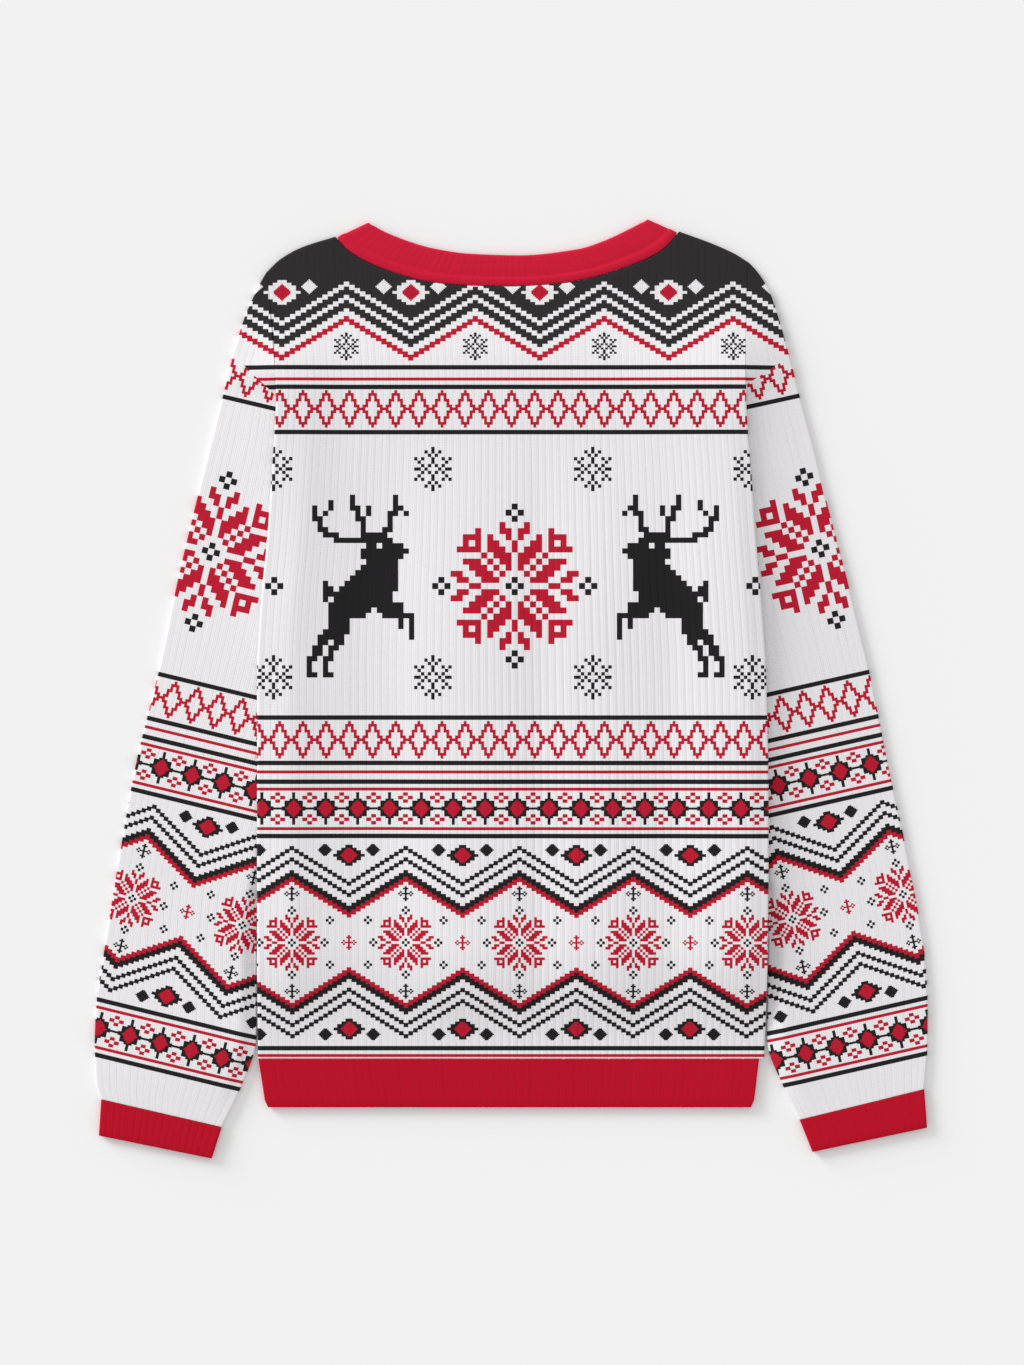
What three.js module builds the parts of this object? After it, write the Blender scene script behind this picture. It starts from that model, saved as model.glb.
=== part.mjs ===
// A ribbed knit sweater that lies flat on a surface with its back up.
// Millimetres. +X is to the right, +Y runs up the garment to the neck, +Z is up.
// left and right are the sides as seen from above.
import * as THREE from 'three';
import { mergeVertices } from 'three/addons/utils/BufferGeometryUtils.js';

// Cloth
const WALL = 1.6;
const BAND_WALL = 2.0;
const GAP = 0.3;
const RIB_RISE = 0.4;
const RIB_COUNTS = { shoulder: 10, neck: 48, sleeve: 20, cuff: 17 };
const PLAIN_COUNTS = { shoulder: 4, neck: 32 };
const EDGE_ROUND = 4;

// Body
const HEM_SEAM_Y = -277.2;
const HEM_EDGE_Y = -313.5;
const ARMHOLE_Y = 220.3;
const BODY_ROWS = [-277.2, -234, -190, -135, -70, 0, 70, 130, 155, 180, 205, 226, 248];
const TOP_ROWS = [0.45, 1];
const BODY_SIDES = [
  { y: -277.2, left: -190.0, right: 189.4 },
  { y: -200.0, left: -190.1, right: 191.3 },
  { y: -96.2, left: -190.1, right: 192.0 },
  { y: 8.8, left: -190.1, right: 190.1 },
  { y: 66.6, left: -187.1, right: 186.4 },
  { y: 111.6, left: -182.6, right: 182.6 },
  { y: 164.8, left: -178.9, right: 178.9 },
  { y: 192.6, left: -177.0, right: 176.6 },
  { y: 220.3, left: -175.9, right: 175.2 },
  { y: 237.6, left: -176.6, right: 175.1 },
  { y: 280.0, left: -180.2, right: 176.0 },
  { y: 319.6, left: -182.6, right: 177.4 },
];
const SHOULDER_LEFT = [
  { x: -182.6, y: 313.1 },
  { x: -173.6, y: 321.6 },
  { x: -158.0, y: 330.4 },
  { x: -132.1, y: 338.8 },
];
const SHOULDER_RIGHT = [
  { x: 125.6, y: 342.6 },
  { x: 150.0, y: 333.7 },
  { x: 166.9, y: 326.1 },
  { x: 177.4, y: 319.6 },
];

// Neckline: its seam and its free edge across the back, and the depths of the front
const NECK_SEAM = [
  { x: -132.1, y: 338.8 },
  { x: -122.3, y: 328.3 },
  { x: -105.7, y: 318.6 },
  { x: -86.3, y: 311.1 },
  { x: -65.6, y: 305.5 },
  { x: -37.9, y: 302.5 },
  { x: -3.0, y: 301.5 },
  { x: 37.1, y: 303.8 },
  { x: 64.9, y: 309.2 },
  { x: 86.3, y: 316.1 },
  { x: 107.6, y: 325.3 },
  { x: 118.4, y: 333.6 },
  { x: 125.6, y: 342.6 },
];
const NECK_EDGE = [
  { x: -107.8, y: 349.6 },
  { x: -91.9, y: 341.1 },
  { x: -58.9, y: 330.2 },
  { x: -31.1, y: 326.1 },
  { x: 6.4, y: 324.9 },
  { x: 49.6, y: 329.5 },
  { x: 67.9, y: 335.2 },
  { x: 89.3, y: 345.1 },
  { x: 102.4, y: 352.0 },
];
const FRONT_SEAM_DROP = 85;
const FRONT_EDGE_DROP = 72;
const NECK_BACK_Z = 2 * WALL + GAP - 0.6;
const NECK_FRONT_Z = WALL / 2;
const NECK_FOLD_INSET = 1.9;
const NECK_FOLD_STEPS = 4;
const NECK_TIP = { reach: 7, depth: 1.5 };
// The neck band's section: a share of its width from seam to free edge, and of its thickness
const NECK_SECTION = [
  { across: 0.0, out: -0.5, ribbed: false },
  { across: 0.0, out: 0.4, ribbed: false },
  { across: 0.2, out: 0.52, ribbed: false },
  { across: 0.36, out: 0.4, ribbed: true },
  { across: 0.94, out: 0.4, ribbed: true },
  { across: 1.0, out: -0.4, ribbed: false },
];

// Hem and cuffs
const HEM_ROWS = [
  { y: HEM_SEAM_Y - GAP, left: -189.7, right: 185.5, pinch: 0 },
  { y: -308.0, left: -185.0, right: 181.9, pinch: 0 },
  { y: HEM_EDGE_Y, left: -182.6, right: 179.6, pinch: 0.7 },
];
const CUFFS = {
  left: {
    outer: [307.5, -307.5],
    inner: [217.1, -328.4],
    outerEnd: [309.2, -334.7],
    innerEnd: [224.6, -351.9],
  },
  right: {
    outer: [309.3, -299.9],
    inner: [215.9, -322.9],
    outerEnd: [311.4, -328.8],
    innerEnd: [225.5, -347.0],
  },
};
const CUFF_ROWS = [
  { along: 0.012, pinch: 0 },
  { along: 0.86, pinch: 0 },
  { along: 1.0, pinch: 0.7 },
];

// Sleeves, as distances from the centre line. inner is the underarm edge, hidden below the body.
const SLEEVE_OUTER = [
  { y: 319.6, left: 178.0, right: 177.8 },
  { y: 313.1, left: 183.0, right: 186.6 },
  { y: 299.1, left: 190.9, right: 195.1 },
  { y: 276.6, left: 200.6, right: 203.6 },
  { y: 246.6, left: 209.6, right: 214.1 },
  { y: 216.6, left: 217.1, right: 220.9 },
  { y: 186.6, left: 224.6, right: 226.9 },
  { y: 141.6, left: 235.9, right: 236.3 },
  { y: 81.6, left: 250.1, right: 251.6 },
  { y: 6.6, left: 265.9, right: 269.6 },
  { y: -53.4, left: 280.9, right: 281.5 },
  { y: -128.4, left: 294.4, right: 297.4 },
  { y: -203.4, left: 306.4, right: 310.0 },
  { y: -233.4, left: 310.9, right: 311.9 },
  { y: -263.4, left: 312.4, right: 311.9 },
  { y: -293.4, left: 311.4, right: 310.0 },
  { y: -307.5, left: 307.5, right: 308.0 },
];
const SLEEVE_INNER = [
  { y: 130.0, left: 100.0, right: 100.0 },
  { y: -30.0, left: 147.0, right: 147.0 },
  { y: -190.0, left: 190.6, right: 192.2 },
  { y: -230.0, left: 190.8, right: 191.8 },
  { y: -262.0, left: 191.2, right: 191.4 },
  { y: -300.0, left: 203.3, right: 204.6 },
  { y: -328.4, left: 217.1, right: 218.5 },
];
// Shares of the way down the outer and the inner edge, and how far the ribs crowd outwards
const SLEEVE_ROWS = [
  { outer: 0.0, inner: 0.0, crowd: 0.0 },
  { outer: 0.069, inner: 0.039, crowd: 0.05 },
  { outer: 0.147, inner: 0.083, crowd: 0.1 },
  { outer: 0.231, inner: 0.131, crowd: 0.15 },
  { outer: 0.319, inner: 0.179, crowd: 0.2 },
  { outer: 0.408, inner: 0.245, crowd: 0.2 },
  { outer: 0.5, inner: 0.36, crowd: 0.2 },
  { outer: 0.6, inner: 0.49, crowd: 0.2 },
  { outer: 0.7, inner: 0.61, crowd: 0.2 },
  { outer: 0.778, inner: 0.7, crowd: 0.15 },
  { outer: 0.853, inner: 0.79, crowd: 0.1 },
  { outer: 0.927, inner: 0.884, crowd: 0.05 },
  { outer: 1.0, inner: 1.0, crowd: 0.0 },
];
const SLEEVE_TOP_Y = { left: 313.1, right: 319.6 };
const UNDERARM_Y = 130;
const RIM_FADE = 0.3;
const SLEEVE_CROWN = 2.2;
const CROWN_RAMP = { underBody: 45, inner: 14 };

// Where the body lies over the sleeves: the front rises by this much, over a soft ramp
const LIFT = 4.9;
const LIFT_MARGIN = 14;
const LIFT_RAMP = 30;
const LIFT_ABOVE_RIM = 8;
const LIFT_TOP_RAMP = 60;
const LIFT_BOTTOM = { full: -190, none: -232 };

// The back stays as high between the sleeves, down to the hem and the shoulders
const LOFT_BOTTOM = { full: -190, none: -277.2 };
const LOFT_TOP = { full: 228, none: 300 };
const DOME = 1.5;
const DOME_HALF_WIDTH = 190;

// Soft long folds of the back, by where each stands and how high it is
const FOLDS = [
  { x: -158, lean: 0.02, from: -262, to: 250, halfWidth: 44, rise: 2.2 },
  { x: -27, lean: 0.0, from: -268, to: 245, halfWidth: 60, rise: 1.9 },
  { x: 68, lean: 0.01, from: -268, to: 245, halfWidth: 54, rise: 1.8 },
  { x: 160, lean: -0.01, from: -262, to: 250, halfWidth: 46, rise: 1.5 },
];
const FOLD_FADE = { low: 70, high: 170 };
const BASE_PUFF = 0.4;
const PUFF_SIDE_FADE = { left: 28, right: 14 };
const PUFF_END_FADE = 55;

const { lerp, clamp, smoothstep } = THREE.MathUtils;

// Monotone cubic through a table, from one named column to another
function curve(table, along, across) {
  const rows = [...table].sort((p, q) => p[along] - q[along]);
  const secants = rows.slice(1).map((row, i) => (row[across] - rows[i][across]) / (row[along] - rows[i][along]));
  const slopes = rows.map((row, i) => {
    const before = secants[Math.max(i - 1, 0)];
    const after = secants[Math.min(i, secants.length - 1)];
    return before * after <= 0 ? 0 : (2 * before * after) / (before + after);
  });
  return (value) => {
    const at = clamp(value, rows[0][along], rows[rows.length - 1][along]);
    const i = Math.max(0, rows.findLastIndex((row, k) => k < rows.length - 1 && row[along] <= at));
    const span = rows[i + 1][along] - rows[i][along];
    const t = (at - rows[i][along]) / span;
    return (
      rows[i][across] * (1 + 2 * t) * (1 - t) ** 2 +
      slopes[i] * span * t * (1 - t) ** 2 +
      rows[i + 1][across] * t * t * (3 - 2 * t) +
      slopes[i + 1] * span * t * t * (t - 1)
    );
  };
}

const bodyLeft = curve(BODY_SIDES, 'y', 'left');
const bodyRight = curve(BODY_SIDES, 'y', 'right');
const shoulderLeft = curve(SHOULDER_LEFT, 'x', 'y');
const shoulderRight = curve(SHOULDER_RIGHT, 'x', 'y');
const neckSeam = curve(NECK_SEAM, 'x', 'y');
const neckEdge = curve(NECK_EDGE, 'x', 'y');
const sleeveOuter = { left: curve(SLEEVE_OUTER, 'y', 'left'), right: curve(SLEEVE_OUTER, 'y', 'right') };
const sleeveInner = { left: curve(SLEEVE_INNER, 'y', 'left'), right: curve(SLEEVE_INNER, 'y', 'right') };
const SIGN = { left: -1, right: 1 };

const NECK_LEFT = NECK_SEAM[0];
const NECK_RIGHT = NECK_SEAM[NECK_SEAM.length - 1];
const EDGE_LEFT = NECK_EDGE[0];
const EDGE_RIGHT = NECK_EDGE[NECK_EDGE.length - 1];
const ARMHOLE_LEFT = SHOULDER_LEFT[0];
const ARMHOLE_RIGHT = SHOULDER_RIGHT[SHOULDER_RIGHT.length - 1];

// Collects triangles and turns them into one closed mesh whose faces point out
class Skin {
  constructor() {
    this.corners = [];
  }

  // Joins rows of points. reversed turns the faces over.
  grid(rows, { ring = false, loop = false, reversed = false } = {}) {
    const lastRow = loop ? rows.length : rows.length - 1;
    for (let r = 0; r < lastRow; r += 1) {
      const row = rows[r];
      const next = rows[(r + 1) % rows.length];
      const lastColumn = ring ? row.length : row.length - 1;
      for (let c = 0; c < lastColumn; c += 1) {
        const d = (c + 1) % row.length;
        if (reversed) {
          this.corners.push(row[c], next[d], row[d], row[c], next[c], next[d]);
        } else {
          this.corners.push(row[c], row[d], next[d], row[c], next[d], next[c]);
        }
      }
    }
  }

  // Joins two edges that may have different numbers of points
  strip(one, other, ring = false) {
    const a = ring ? [...one, one[0]] : one;
    const b = ring ? [...other, other[0]] : other;
    const shareA = shares(a);
    const shareB = shares(b);
    let i = 0;
    let j = 0;
    while (i < a.length - 1 || j < b.length - 1) {
      if (j === b.length - 1 || (i < a.length - 1 && shareA[i + 1] <= shareB[j + 1])) {
        this.corners.push(a[i], a[i + 1], b[j]);
        i += 1;
      } else {
        this.corners.push(a[i], b[j + 1], b[j]);
        j += 1;
      }
    }
  }

  mesh(name, colour) {
    let volume = 0;
    for (let i = 0; i < this.corners.length; i += 3) {
      const [a, b, c] = this.corners.slice(i, i + 3);
      volume += a.dot(b.clone().cross(c)) / 6;
    }
    const points = volume < 0 ? [...this.corners].reverse() : this.corners;
    const geometry = mergeVertices(new THREE.BufferGeometry().setFromPoints(points), 1e-4);
    geometry.computeVertexNormals();
    const material = new THREE.MeshStandardMaterial({ color: colour, roughness: 0.95, metalness: 0 });
    const mesh = new THREE.Mesh(geometry, material);
    mesh.name = name;
    return mesh;
  }
}

// How far along an edge each of its points lies, from 0 to 1
function shares(points) {
  const lengths = [0];
  for (let i = 1; i < points.length; i += 1) {
    lengths.push(lengths[i - 1] + points[i].distanceTo(points[i - 1]));
  }
  return lengths.map((length) => length / lengths[lengths.length - 1]);
}

// A closed slab between two surfaces with the same rows and columns of their own
function slab(upper, lower) {
  const skin = new Skin();
  const last = upper.length - 1;
  skin.grid(upper);
  skin.grid(lower, { reversed: true });
  skin.strip(lower[0], upper[0]);
  skin.strip(upper[last], lower[last]);
  skin.strip(
    upper.map((row) => row[0]),
    lower.map((row) => row[0]),
  );
  skin.strip(
    lower.map((row) => row[row.length - 1]),
    upper.map((row) => row[row.length - 1]),
  );
  return skin;
}

// A tube of cloth with open ends, from sections that each hold an outer and an inner ring
function tube(sections) {
  const skin = new Skin();
  const last = sections[sections.length - 1];
  skin.grid(sections.map((section) => section.outer), { ring: true });
  skin.grid(sections.map((section) => section.inner), { ring: true, reversed: true });
  skin.strip(sections[0].inner, sections[0].outer, true);
  skin.strip(last.outer, last.inner, true);
  return skin;
}

// The height of the armhole rim, which runs from the underarm up to the visible seam
function hiddenRimY(side, distance) {
  const body = side === 'left' ? bodyLeft : bodyRight;
  const underarm = sleeveInner[side](UNDERARM_Y);
  const share = (distance - underarm) / (Math.abs(body(ARMHOLE_Y)) - underarm);
  return lerp(UNDERARM_Y, ARMHOLE_Y, clamp(share, 0, 1));
}

// How high the front lies at a point, to pass over the sleeve on that side
function lift(x, y) {
  const side = x < 0 ? 'left' : 'right';
  const distance = Math.abs(x);
  const inside = sleeveInner[side](y) - distance - LIFT_MARGIN;
  const above = y - hiddenRimY(side, distance) - LIFT_ABOVE_RIM;
  return (
    (LIFT + sleeveCrown(side)(x, y)) *
    (1 - smoothstep(inside, 0, LIFT_RAMP)) *
    (1 - smoothstep(above, 0, LIFT_TOP_RAMP)) *
    smoothstep(y, LIFT_BOTTOM.none, LIFT_BOTTOM.full)
  );
}

// How high the back would lie without its folds
function loft(x, y) {
  const side = x < 0 ? 'left' : 'right';
  const ends = smoothstep(y, LOFT_BOTTOM.none, LOFT_BOTTOM.full) * (1 - smoothstep(y, LOFT_TOP.full, LOFT_TOP.none));
  const dome = DOME * Math.max(0, 1 - (x / DOME_HALF_WIDTH) ** 2);
  return ends * (LIFT + sleeveCrown(side)(x, y) + dome);
}

// How far the back's folds stand up at a point
function puff(x, y, topY) {
  const fade =
    smoothstep(x - bodyLeft(y), 0, PUFF_SIDE_FADE.left) *
    smoothstep(bodyRight(y) - x, 0, PUFF_SIDE_FADE.right) *
    smoothstep(topY - y, 0, PUFF_END_FADE) *
    smoothstep(y - HEM_SEAM_Y, 0, PUFF_END_FADE);
  const folds = FOLDS.map((fold) => {
    const off = Math.abs(x - fold.x - fold.lean * y) / fold.halfWidth;
    const ends =
      smoothstep(y, fold.from, fold.from + FOLD_FADE.low) * (1 - smoothstep(y, fold.to - FOLD_FADE.high, fold.to));
    return off < 1 ? fold.rise * ends * (1 - off ** 2) : 0;
  });
  return fade * (BASE_PUFF + Math.max(...folds));
}

// Columns of a panel as shares of its width, with equal steps between the corners of its top
function columns(shoulderCount, neckShares) {
  const width = ARMHOLE_RIGHT.x - ARMHOLE_LEFT.x;
  const step = (from, to, share) => (lerp(from, to, share) - ARMHOLE_LEFT.x) / width;
  const list = [];
  for (let i = 0; i < shoulderCount; i += 1) {
    list.push(step(ARMHOLE_LEFT.x, NECK_LEFT.x, i / shoulderCount));
  }
  for (const share of neckShares) {
    list.push(step(NECK_LEFT.x, NECK_RIGHT.x, share));
  }
  for (let i = 1; i <= shoulderCount; i += 1) {
    list.push(step(NECK_RIGHT.x, ARMHOLE_RIGHT.x, i / shoulderCount));
  }
  return list;
}

const evenShares = (count) => Array.from({ length: count + 1 }, (_, i) => i / count);

function shoulderTop(x) {
  return x < 0 ? shoulderLeft(x) : shoulderRight(x);
}

// The top edge of each panel over a place on the shoulder-to-shoulder line
function backTop(x) {
  return x <= NECK_LEFT.x || x >= NECK_RIGHT.x ? shoulderTop(x) : neckSeam(x);
}

function frontNeck(share, left, right, drop) {
  const y = lerp(left.y, right.y, share) - drop * Math.sqrt(Math.max(0, 1 - (2 * share - 1) ** 2));
  return new THREE.Vector3(lerp(left.x, right.x, share), y, 0);
}

function frontTop(x) {
  const share = (x - NECK_LEFT.x) / (NECK_RIGHT.x - NECK_LEFT.x);
  return share <= 0 || share >= 1 ? shoulderTop(x) : frontNeck(share, NECK_LEFT, NECK_RIGHT, FRONT_SEAM_DROP).y;
}

// Where a column ends on a panel's top edge: its x there depends on how wide the panel is at that y
function topPoint(share, top) {
  const point = new THREE.Vector3(0, BODY_SIDES[BODY_SIDES.length - 1].y, 0);
  for (let i = 0; i < 12; i += 1) {
    point.x = lerp(bodyLeft(point.y), bodyRight(point.y), share);
    point.y = top(point.x);
  }
  return point;
}

// Points of a panel's surface. height takes x, y, the top of that column and its number.
function panelRows(shareList, top, height) {
  const levelY = BODY_ROWS[BODY_ROWS.length - 1];
  const rows = [...BODY_ROWS.map((rowY) => () => rowY), ...TOP_ROWS.map((up) => (topY) => lerp(levelY, topY, up))];
  return rows.map((rowY) =>
    shareList.map((share, i) => {
      const topY = topPoint(share, top).y;
      const y = rowY(topY);
      const x = lerp(bodyLeft(y), bodyRight(y), share);
      return new THREE.Vector3(x, y, height(x, y, topY, i));
    }),
  );
}

function frontPanel() {
  const shareList = columns(PLAIN_COUNTS.shoulder, evenShares(PLAIN_COUNTS.neck));
  const lower = panelRows(shareList, frontTop, lift);
  const upper = panelRows(shareList, frontTop, (x, y) => lift(x, y) + WALL);
  return slab(upper, lower);
}

function backPanel() {
  const ribbed = columns(2 * RIB_COUNTS.shoulder, evenShares(2 * RIB_COUNTS.neck));
  const plain = columns(PLAIN_COUNTS.shoulder, evenShares(PLAIN_COUNTS.neck));
  const under = (x, y, topY) => loft(x, y) + WALL + GAP + puff(x, y, topY);
  const upper = panelRows(ribbed, backTop, (x, y, topY, i) => {
    const atEdge = i === 0 || i === ribbed.length - 1;
    const rib = i % 2 === 1 ? RIB_RISE : 0;
    return under(x, y, topY) + (atEdge ? WALL * 0.55 : WALL + rib);
  });
  return slab(upper, panelRows(plain, backTop, under));
}

// One section of a flattened tube between two edge points.
// crown is how high its upper wall stands above the flat at a point. pinch rounds its open end.
function flatSection(from, to, { wall, ribs, plain, crowd = 0, crown = () => 0, bend = () => 0, pinch = 0 }) {
  const width = from.distanceTo(to);
  const flat = 2 * wall + GAP;
  const middle = flat / 2;
  const place = (distance, z) => {
    const share = distance / width;
    const point = new THREE.Vector3().lerpVectors(from, to, share);
    const shift = bend(share);
    return shift ? point.add(shift).setZ(z) : point.setZ(z);
  };
  const top = (distance) => {
    const point = place(distance, 0);
    return flat + crown(point.x, point.y);
  };
  const round = (distance) => {
    const near = Math.min(distance, width - distance) / EDGE_ROUND;
    return near >= 1 ? 1 : Math.sqrt(1 - (1 - near) ** 2);
  };
  const upper = (distance, rib) => place(distance, lerp(middle, top(distance), round(distance)) + rib - pinch);
  const lower = (distance) => place(distance, middle * (1 - round(distance)) + pinch);
  const edge = [0.6, 2];
  const inside = width - 2 * EDGE_ROUND;
  const ribAt = (i) => {
    const share = i / (2 * ribs);
    return EDGE_ROUND + inside * share * (1 - crowd * (1 - share));
  };
  const outer = [place(0, middle)];
  edge.forEach((distance) => outer.push(upper(distance, 0)));
  for (let i = 0; i <= 2 * ribs; i += 1) {
    outer.push(upper(ribAt(i), i % 2 === 1 ? RIB_RISE : 0));
  }
  [...edge].reverse().forEach((distance) => outer.push(upper(width - distance, 0)));
  outer.push(place(width, middle));
  const under = [1, EDGE_ROUND, ...plain.map((share) => share * width), width - EDGE_ROUND, width - 1];
  under.reverse().forEach((distance) => outer.push(lower(distance)));

  const start = wall + 0.4;
  const insets = [start, ...plain.map((share) => share * width), width - start];
  const inner = insets.map((distance) => place(distance, top(distance) - wall));
  insets.reverse().forEach((distance) => inner.push(place(distance, wall)));
  return { outer, inner };
}

// How far a sleeve puffs up above the flat: it rises evenly from its outer edge to the body's side
function sleeveCrown(side) {
  const body = side === 'left' ? bodyLeft : bodyRight;
  return (x, y) => {
    const distance = Math.abs(x);
    const edge = Math.max(Math.abs(body(y)), sleeveInner[side](y));
    const share = clamp((sleeveOuter[side](y) - distance) / Math.max(sleeveOuter[side](y) - edge, 1), 0, 1);
    return (
      SLEEVE_CROWN *
      share *
      smoothstep(y, -326, -262) *
      (1 - smoothstep(y, 215, 300)) *
      (1 - smoothstep(edge - distance, 0, CROWN_RAMP.underBody)) *
      smoothstep(distance - sleeveInner[side](y), 0, CROWN_RAMP.inner)
    );
  };
}

// The armhole rim runs down the armhole seam and then under the body to the underarm
function sleeveRim(side) {
  const body = side === 'left' ? bodyLeft : bodyRight;
  const topY = SLEEVE_TOP_Y[side];
  const seam = (y) => new THREE.Vector3(body(y) + SIGN[side] * GAP, y, 0);
  const corner = seam(ARMHOLE_Y);
  const underarm = new THREE.Vector3(SIGN[side] * sleeveInner[side](UNDERARM_Y), UNDERARM_Y, 0);
  const visible = topY - ARMHOLE_Y;
  const seamShare = visible / (visible + corner.distanceTo(underarm));
  const at = (share) =>
    share <= seamShare
      ? seam(lerp(topY, ARMHOLE_Y, share / seamShare))
      : corner.clone().lerp(underarm, (share - seamShare) / (1 - seamShare));
  return { at, seamShare };
}

function sleeve(side) {
  const sign = SIGN[side];
  const cuff = CUFFS[side];
  const { at: rim, seamShare } = sleeveRim(side);
  const plain = [0.25, 0.5, 0.75, 1].map((share) => share * seamShare).concat([0.58, 0.72, 0.86]);
  const crown = sleeveCrown(side);
  const sections = SLEEVE_ROWS.map((row, i) => {
    const last = i === SLEEVE_ROWS.length - 1;
    const outerY = lerp(SLEEVE_TOP_Y[side], cuff.outer[1], row.outer);
    const innerY = lerp(UNDERARM_Y, cuff.inner[1], row.inner);
    const outerX = i === 0 ? Math.abs(rim(0).x) : sleeveOuter[side](outerY);
    const from = new THREE.Vector3(sign * (last ? cuff.outer[0] : outerX), outerY, 0);
    const to = new THREE.Vector3(sign * (last ? cuff.inner[0] : sleeveInner[side](innerY)), innerY, 0);
    const rimFade = Math.max(0, 1 - row.outer / RIM_FADE) ** 2;
    const straight = new THREE.Vector3();
    const bend = (share) =>
      rim(share)
        .clone()
        .sub(straight.lerpVectors(rim(0), rim(1), share))
        .multiplyScalar(rimFade);
    return flatSection(from, to, { wall: WALL, ribs: RIB_COUNTS.sleeve, plain, crowd: row.crowd, crown, bend });
  });
  return tube(sections);
}

function cuff(side) {
  const sign = SIGN[side];
  const { outer, inner, outerEnd, innerEnd } = CUFFS[side];
  const between = (a, b, share) => new THREE.Vector3(sign * lerp(a[0], b[0], share), lerp(a[1], b[1], share), 0);
  return tube(
    CUFF_ROWS.map((row) =>
      flatSection(between(outer, outerEnd, row.along), between(inner, innerEnd, row.along), {
        wall: BAND_WALL,
        ribs: RIB_COUNTS.cuff,
        plain: [0.33, 0.67],
        pinch: row.pinch,
      }),
    ),
  );
}

function hemBand() {
  return tube(
    HEM_ROWS.map((row) =>
      flatSection(new THREE.Vector3(row.left, row.y, 0), new THREE.Vector3(row.right, row.y, 0), {
        wall: BAND_WALL,
        ribs: RIB_COUNTS.neck + 2 * RIB_COUNTS.shoulder,
        plain: [0.25, 0.5, 0.75],
        pinch: row.pinch,
      }),
    ),
  );
}

// One ring of the neck band, from its seam to its free edge, facing along out
function neckRing(seam, edge, out, thick, rib) {
  const across = edge.clone().sub(seam);
  const start = seam.clone().addScaledVector(across, (1.2 * GAP) / across.length());
  return NECK_SECTION.map((point) =>
    start
      .clone()
      .lerp(edge, point.across)
      .addScaledVector(out, point.out * thick + (point.ribbed ? rib : 0)),
  );
}

// The band runs across the back, turns under at one shoulder, crosses the front and turns up again
function neckBand() {
  const rings = [];
  const up = new THREE.Vector3(0, 0, 1);
  const foldZ = (NECK_BACK_Z + NECK_FRONT_Z) / 2;
  const foldRadius = (NECK_BACK_Z - NECK_FRONT_Z) / 2;
  const backPoint = (share, z) => {
    const x = lerp(NECK_LEFT.x + NECK_FOLD_INSET, NECK_RIGHT.x - NECK_FOLD_INSET, share);
    const edgeX = lerp(EDGE_LEFT.x + NECK_FOLD_INSET, EDGE_RIGHT.x - NECK_FOLD_INSET, share);
    const toTip = Math.min(share, 1 - share) * (EDGE_RIGHT.x - EDGE_LEFT.x);
    const rounding = NECK_TIP.depth * Math.max(0, 1 - toTip / NECK_TIP.reach) ** 2;
    return [new THREE.Vector3(x, neckSeam(x), z), new THREE.Vector3(edgeX, neckEdge(edgeX) - rounding, z)];
  };
  const fold = (share, fromAngle, toAngle) => {
    const [seam, edge] = backPoint(share, foldZ);
    const along = edge.clone().sub(seam).normalize();
    const away = new THREE.Vector3(-along.y, along.x, 0);
    away.multiplyScalar(Math.sign(away.y));
    for (let i = 1; i < NECK_FOLD_STEPS; i += 1) {
      const angle = lerp(fromAngle, toAngle, i / NECK_FOLD_STEPS);
      const out = up.clone().multiplyScalar(Math.cos(angle)).addScaledVector(away, Math.sin(angle));
      const thick = lerp(BAND_WALL, WALL, (1 - Math.cos(angle)) / 2);
      const shift = out.clone().multiplyScalar(foldRadius);
      rings.push(neckRing(seam.clone().add(shift), edge.clone().add(shift), out, thick, 0));
    }
  };
  const backSpans = 2 * RIB_COUNTS.neck;
  for (let i = 0; i <= backSpans; i += 1) {
    const [seam, edge] = backPoint(i / backSpans, NECK_BACK_Z);
    rings.push(neckRing(seam, edge, up, BAND_WALL, i % 2 === 1 ? RIB_RISE * 0.8 : 0));
  }
  fold(1, 0, Math.PI);
  const down = up.clone().negate();
  const frontShares = evenShares(PLAIN_COUNTS.neck).reverse();
  frontShares.forEach((share, i) => {
    const atFold = i === 0 || i === frontShares.length - 1;
    const [seam, edge] = atFold
      ? backPoint(share, 0)
      : [
          topPoint(columns(1, [share])[1], frontTop),
          frontNeck(share, EDGE_LEFT, EDGE_RIGHT, FRONT_EDGE_DROP),
        ];
    rings.push(neckRing(seam.setZ(NECK_FRONT_Z), edge.setZ(NECK_FRONT_Z), down, WALL * 0.9, 0));
  });
  fold(0, Math.PI, 0);
  const skin = new Skin();
  skin.grid(rings, { ring: true, loop: true });
  return skin;
}

const WHITE = '#e4e1e3';
const RED = '#b41028';

const sweater = new THREE.Group();
sweater.add(
  backPanel().mesh('back_panel', WHITE),
  frontPanel().mesh('front_panel', WHITE),
  sleeve('left').mesh('left_sleeve', WHITE),
  sleeve('right').mesh('right_sleeve', WHITE),
  neckBand().mesh('neck_band', RED),
  hemBand().mesh('hem_band', RED),
  cuff('left').mesh('left_cuff', RED),
  cuff('right').mesh('right_cuff', RED),
);

// The origin is at the middle of the garment's box, on the surface that it lies on
const middle = new THREE.Box3().setFromObject(sweater).getCenter(new THREE.Vector3());
sweater.position.set(-middle.x, -middle.y, 0);

export default sweater;
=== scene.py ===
import math

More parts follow.
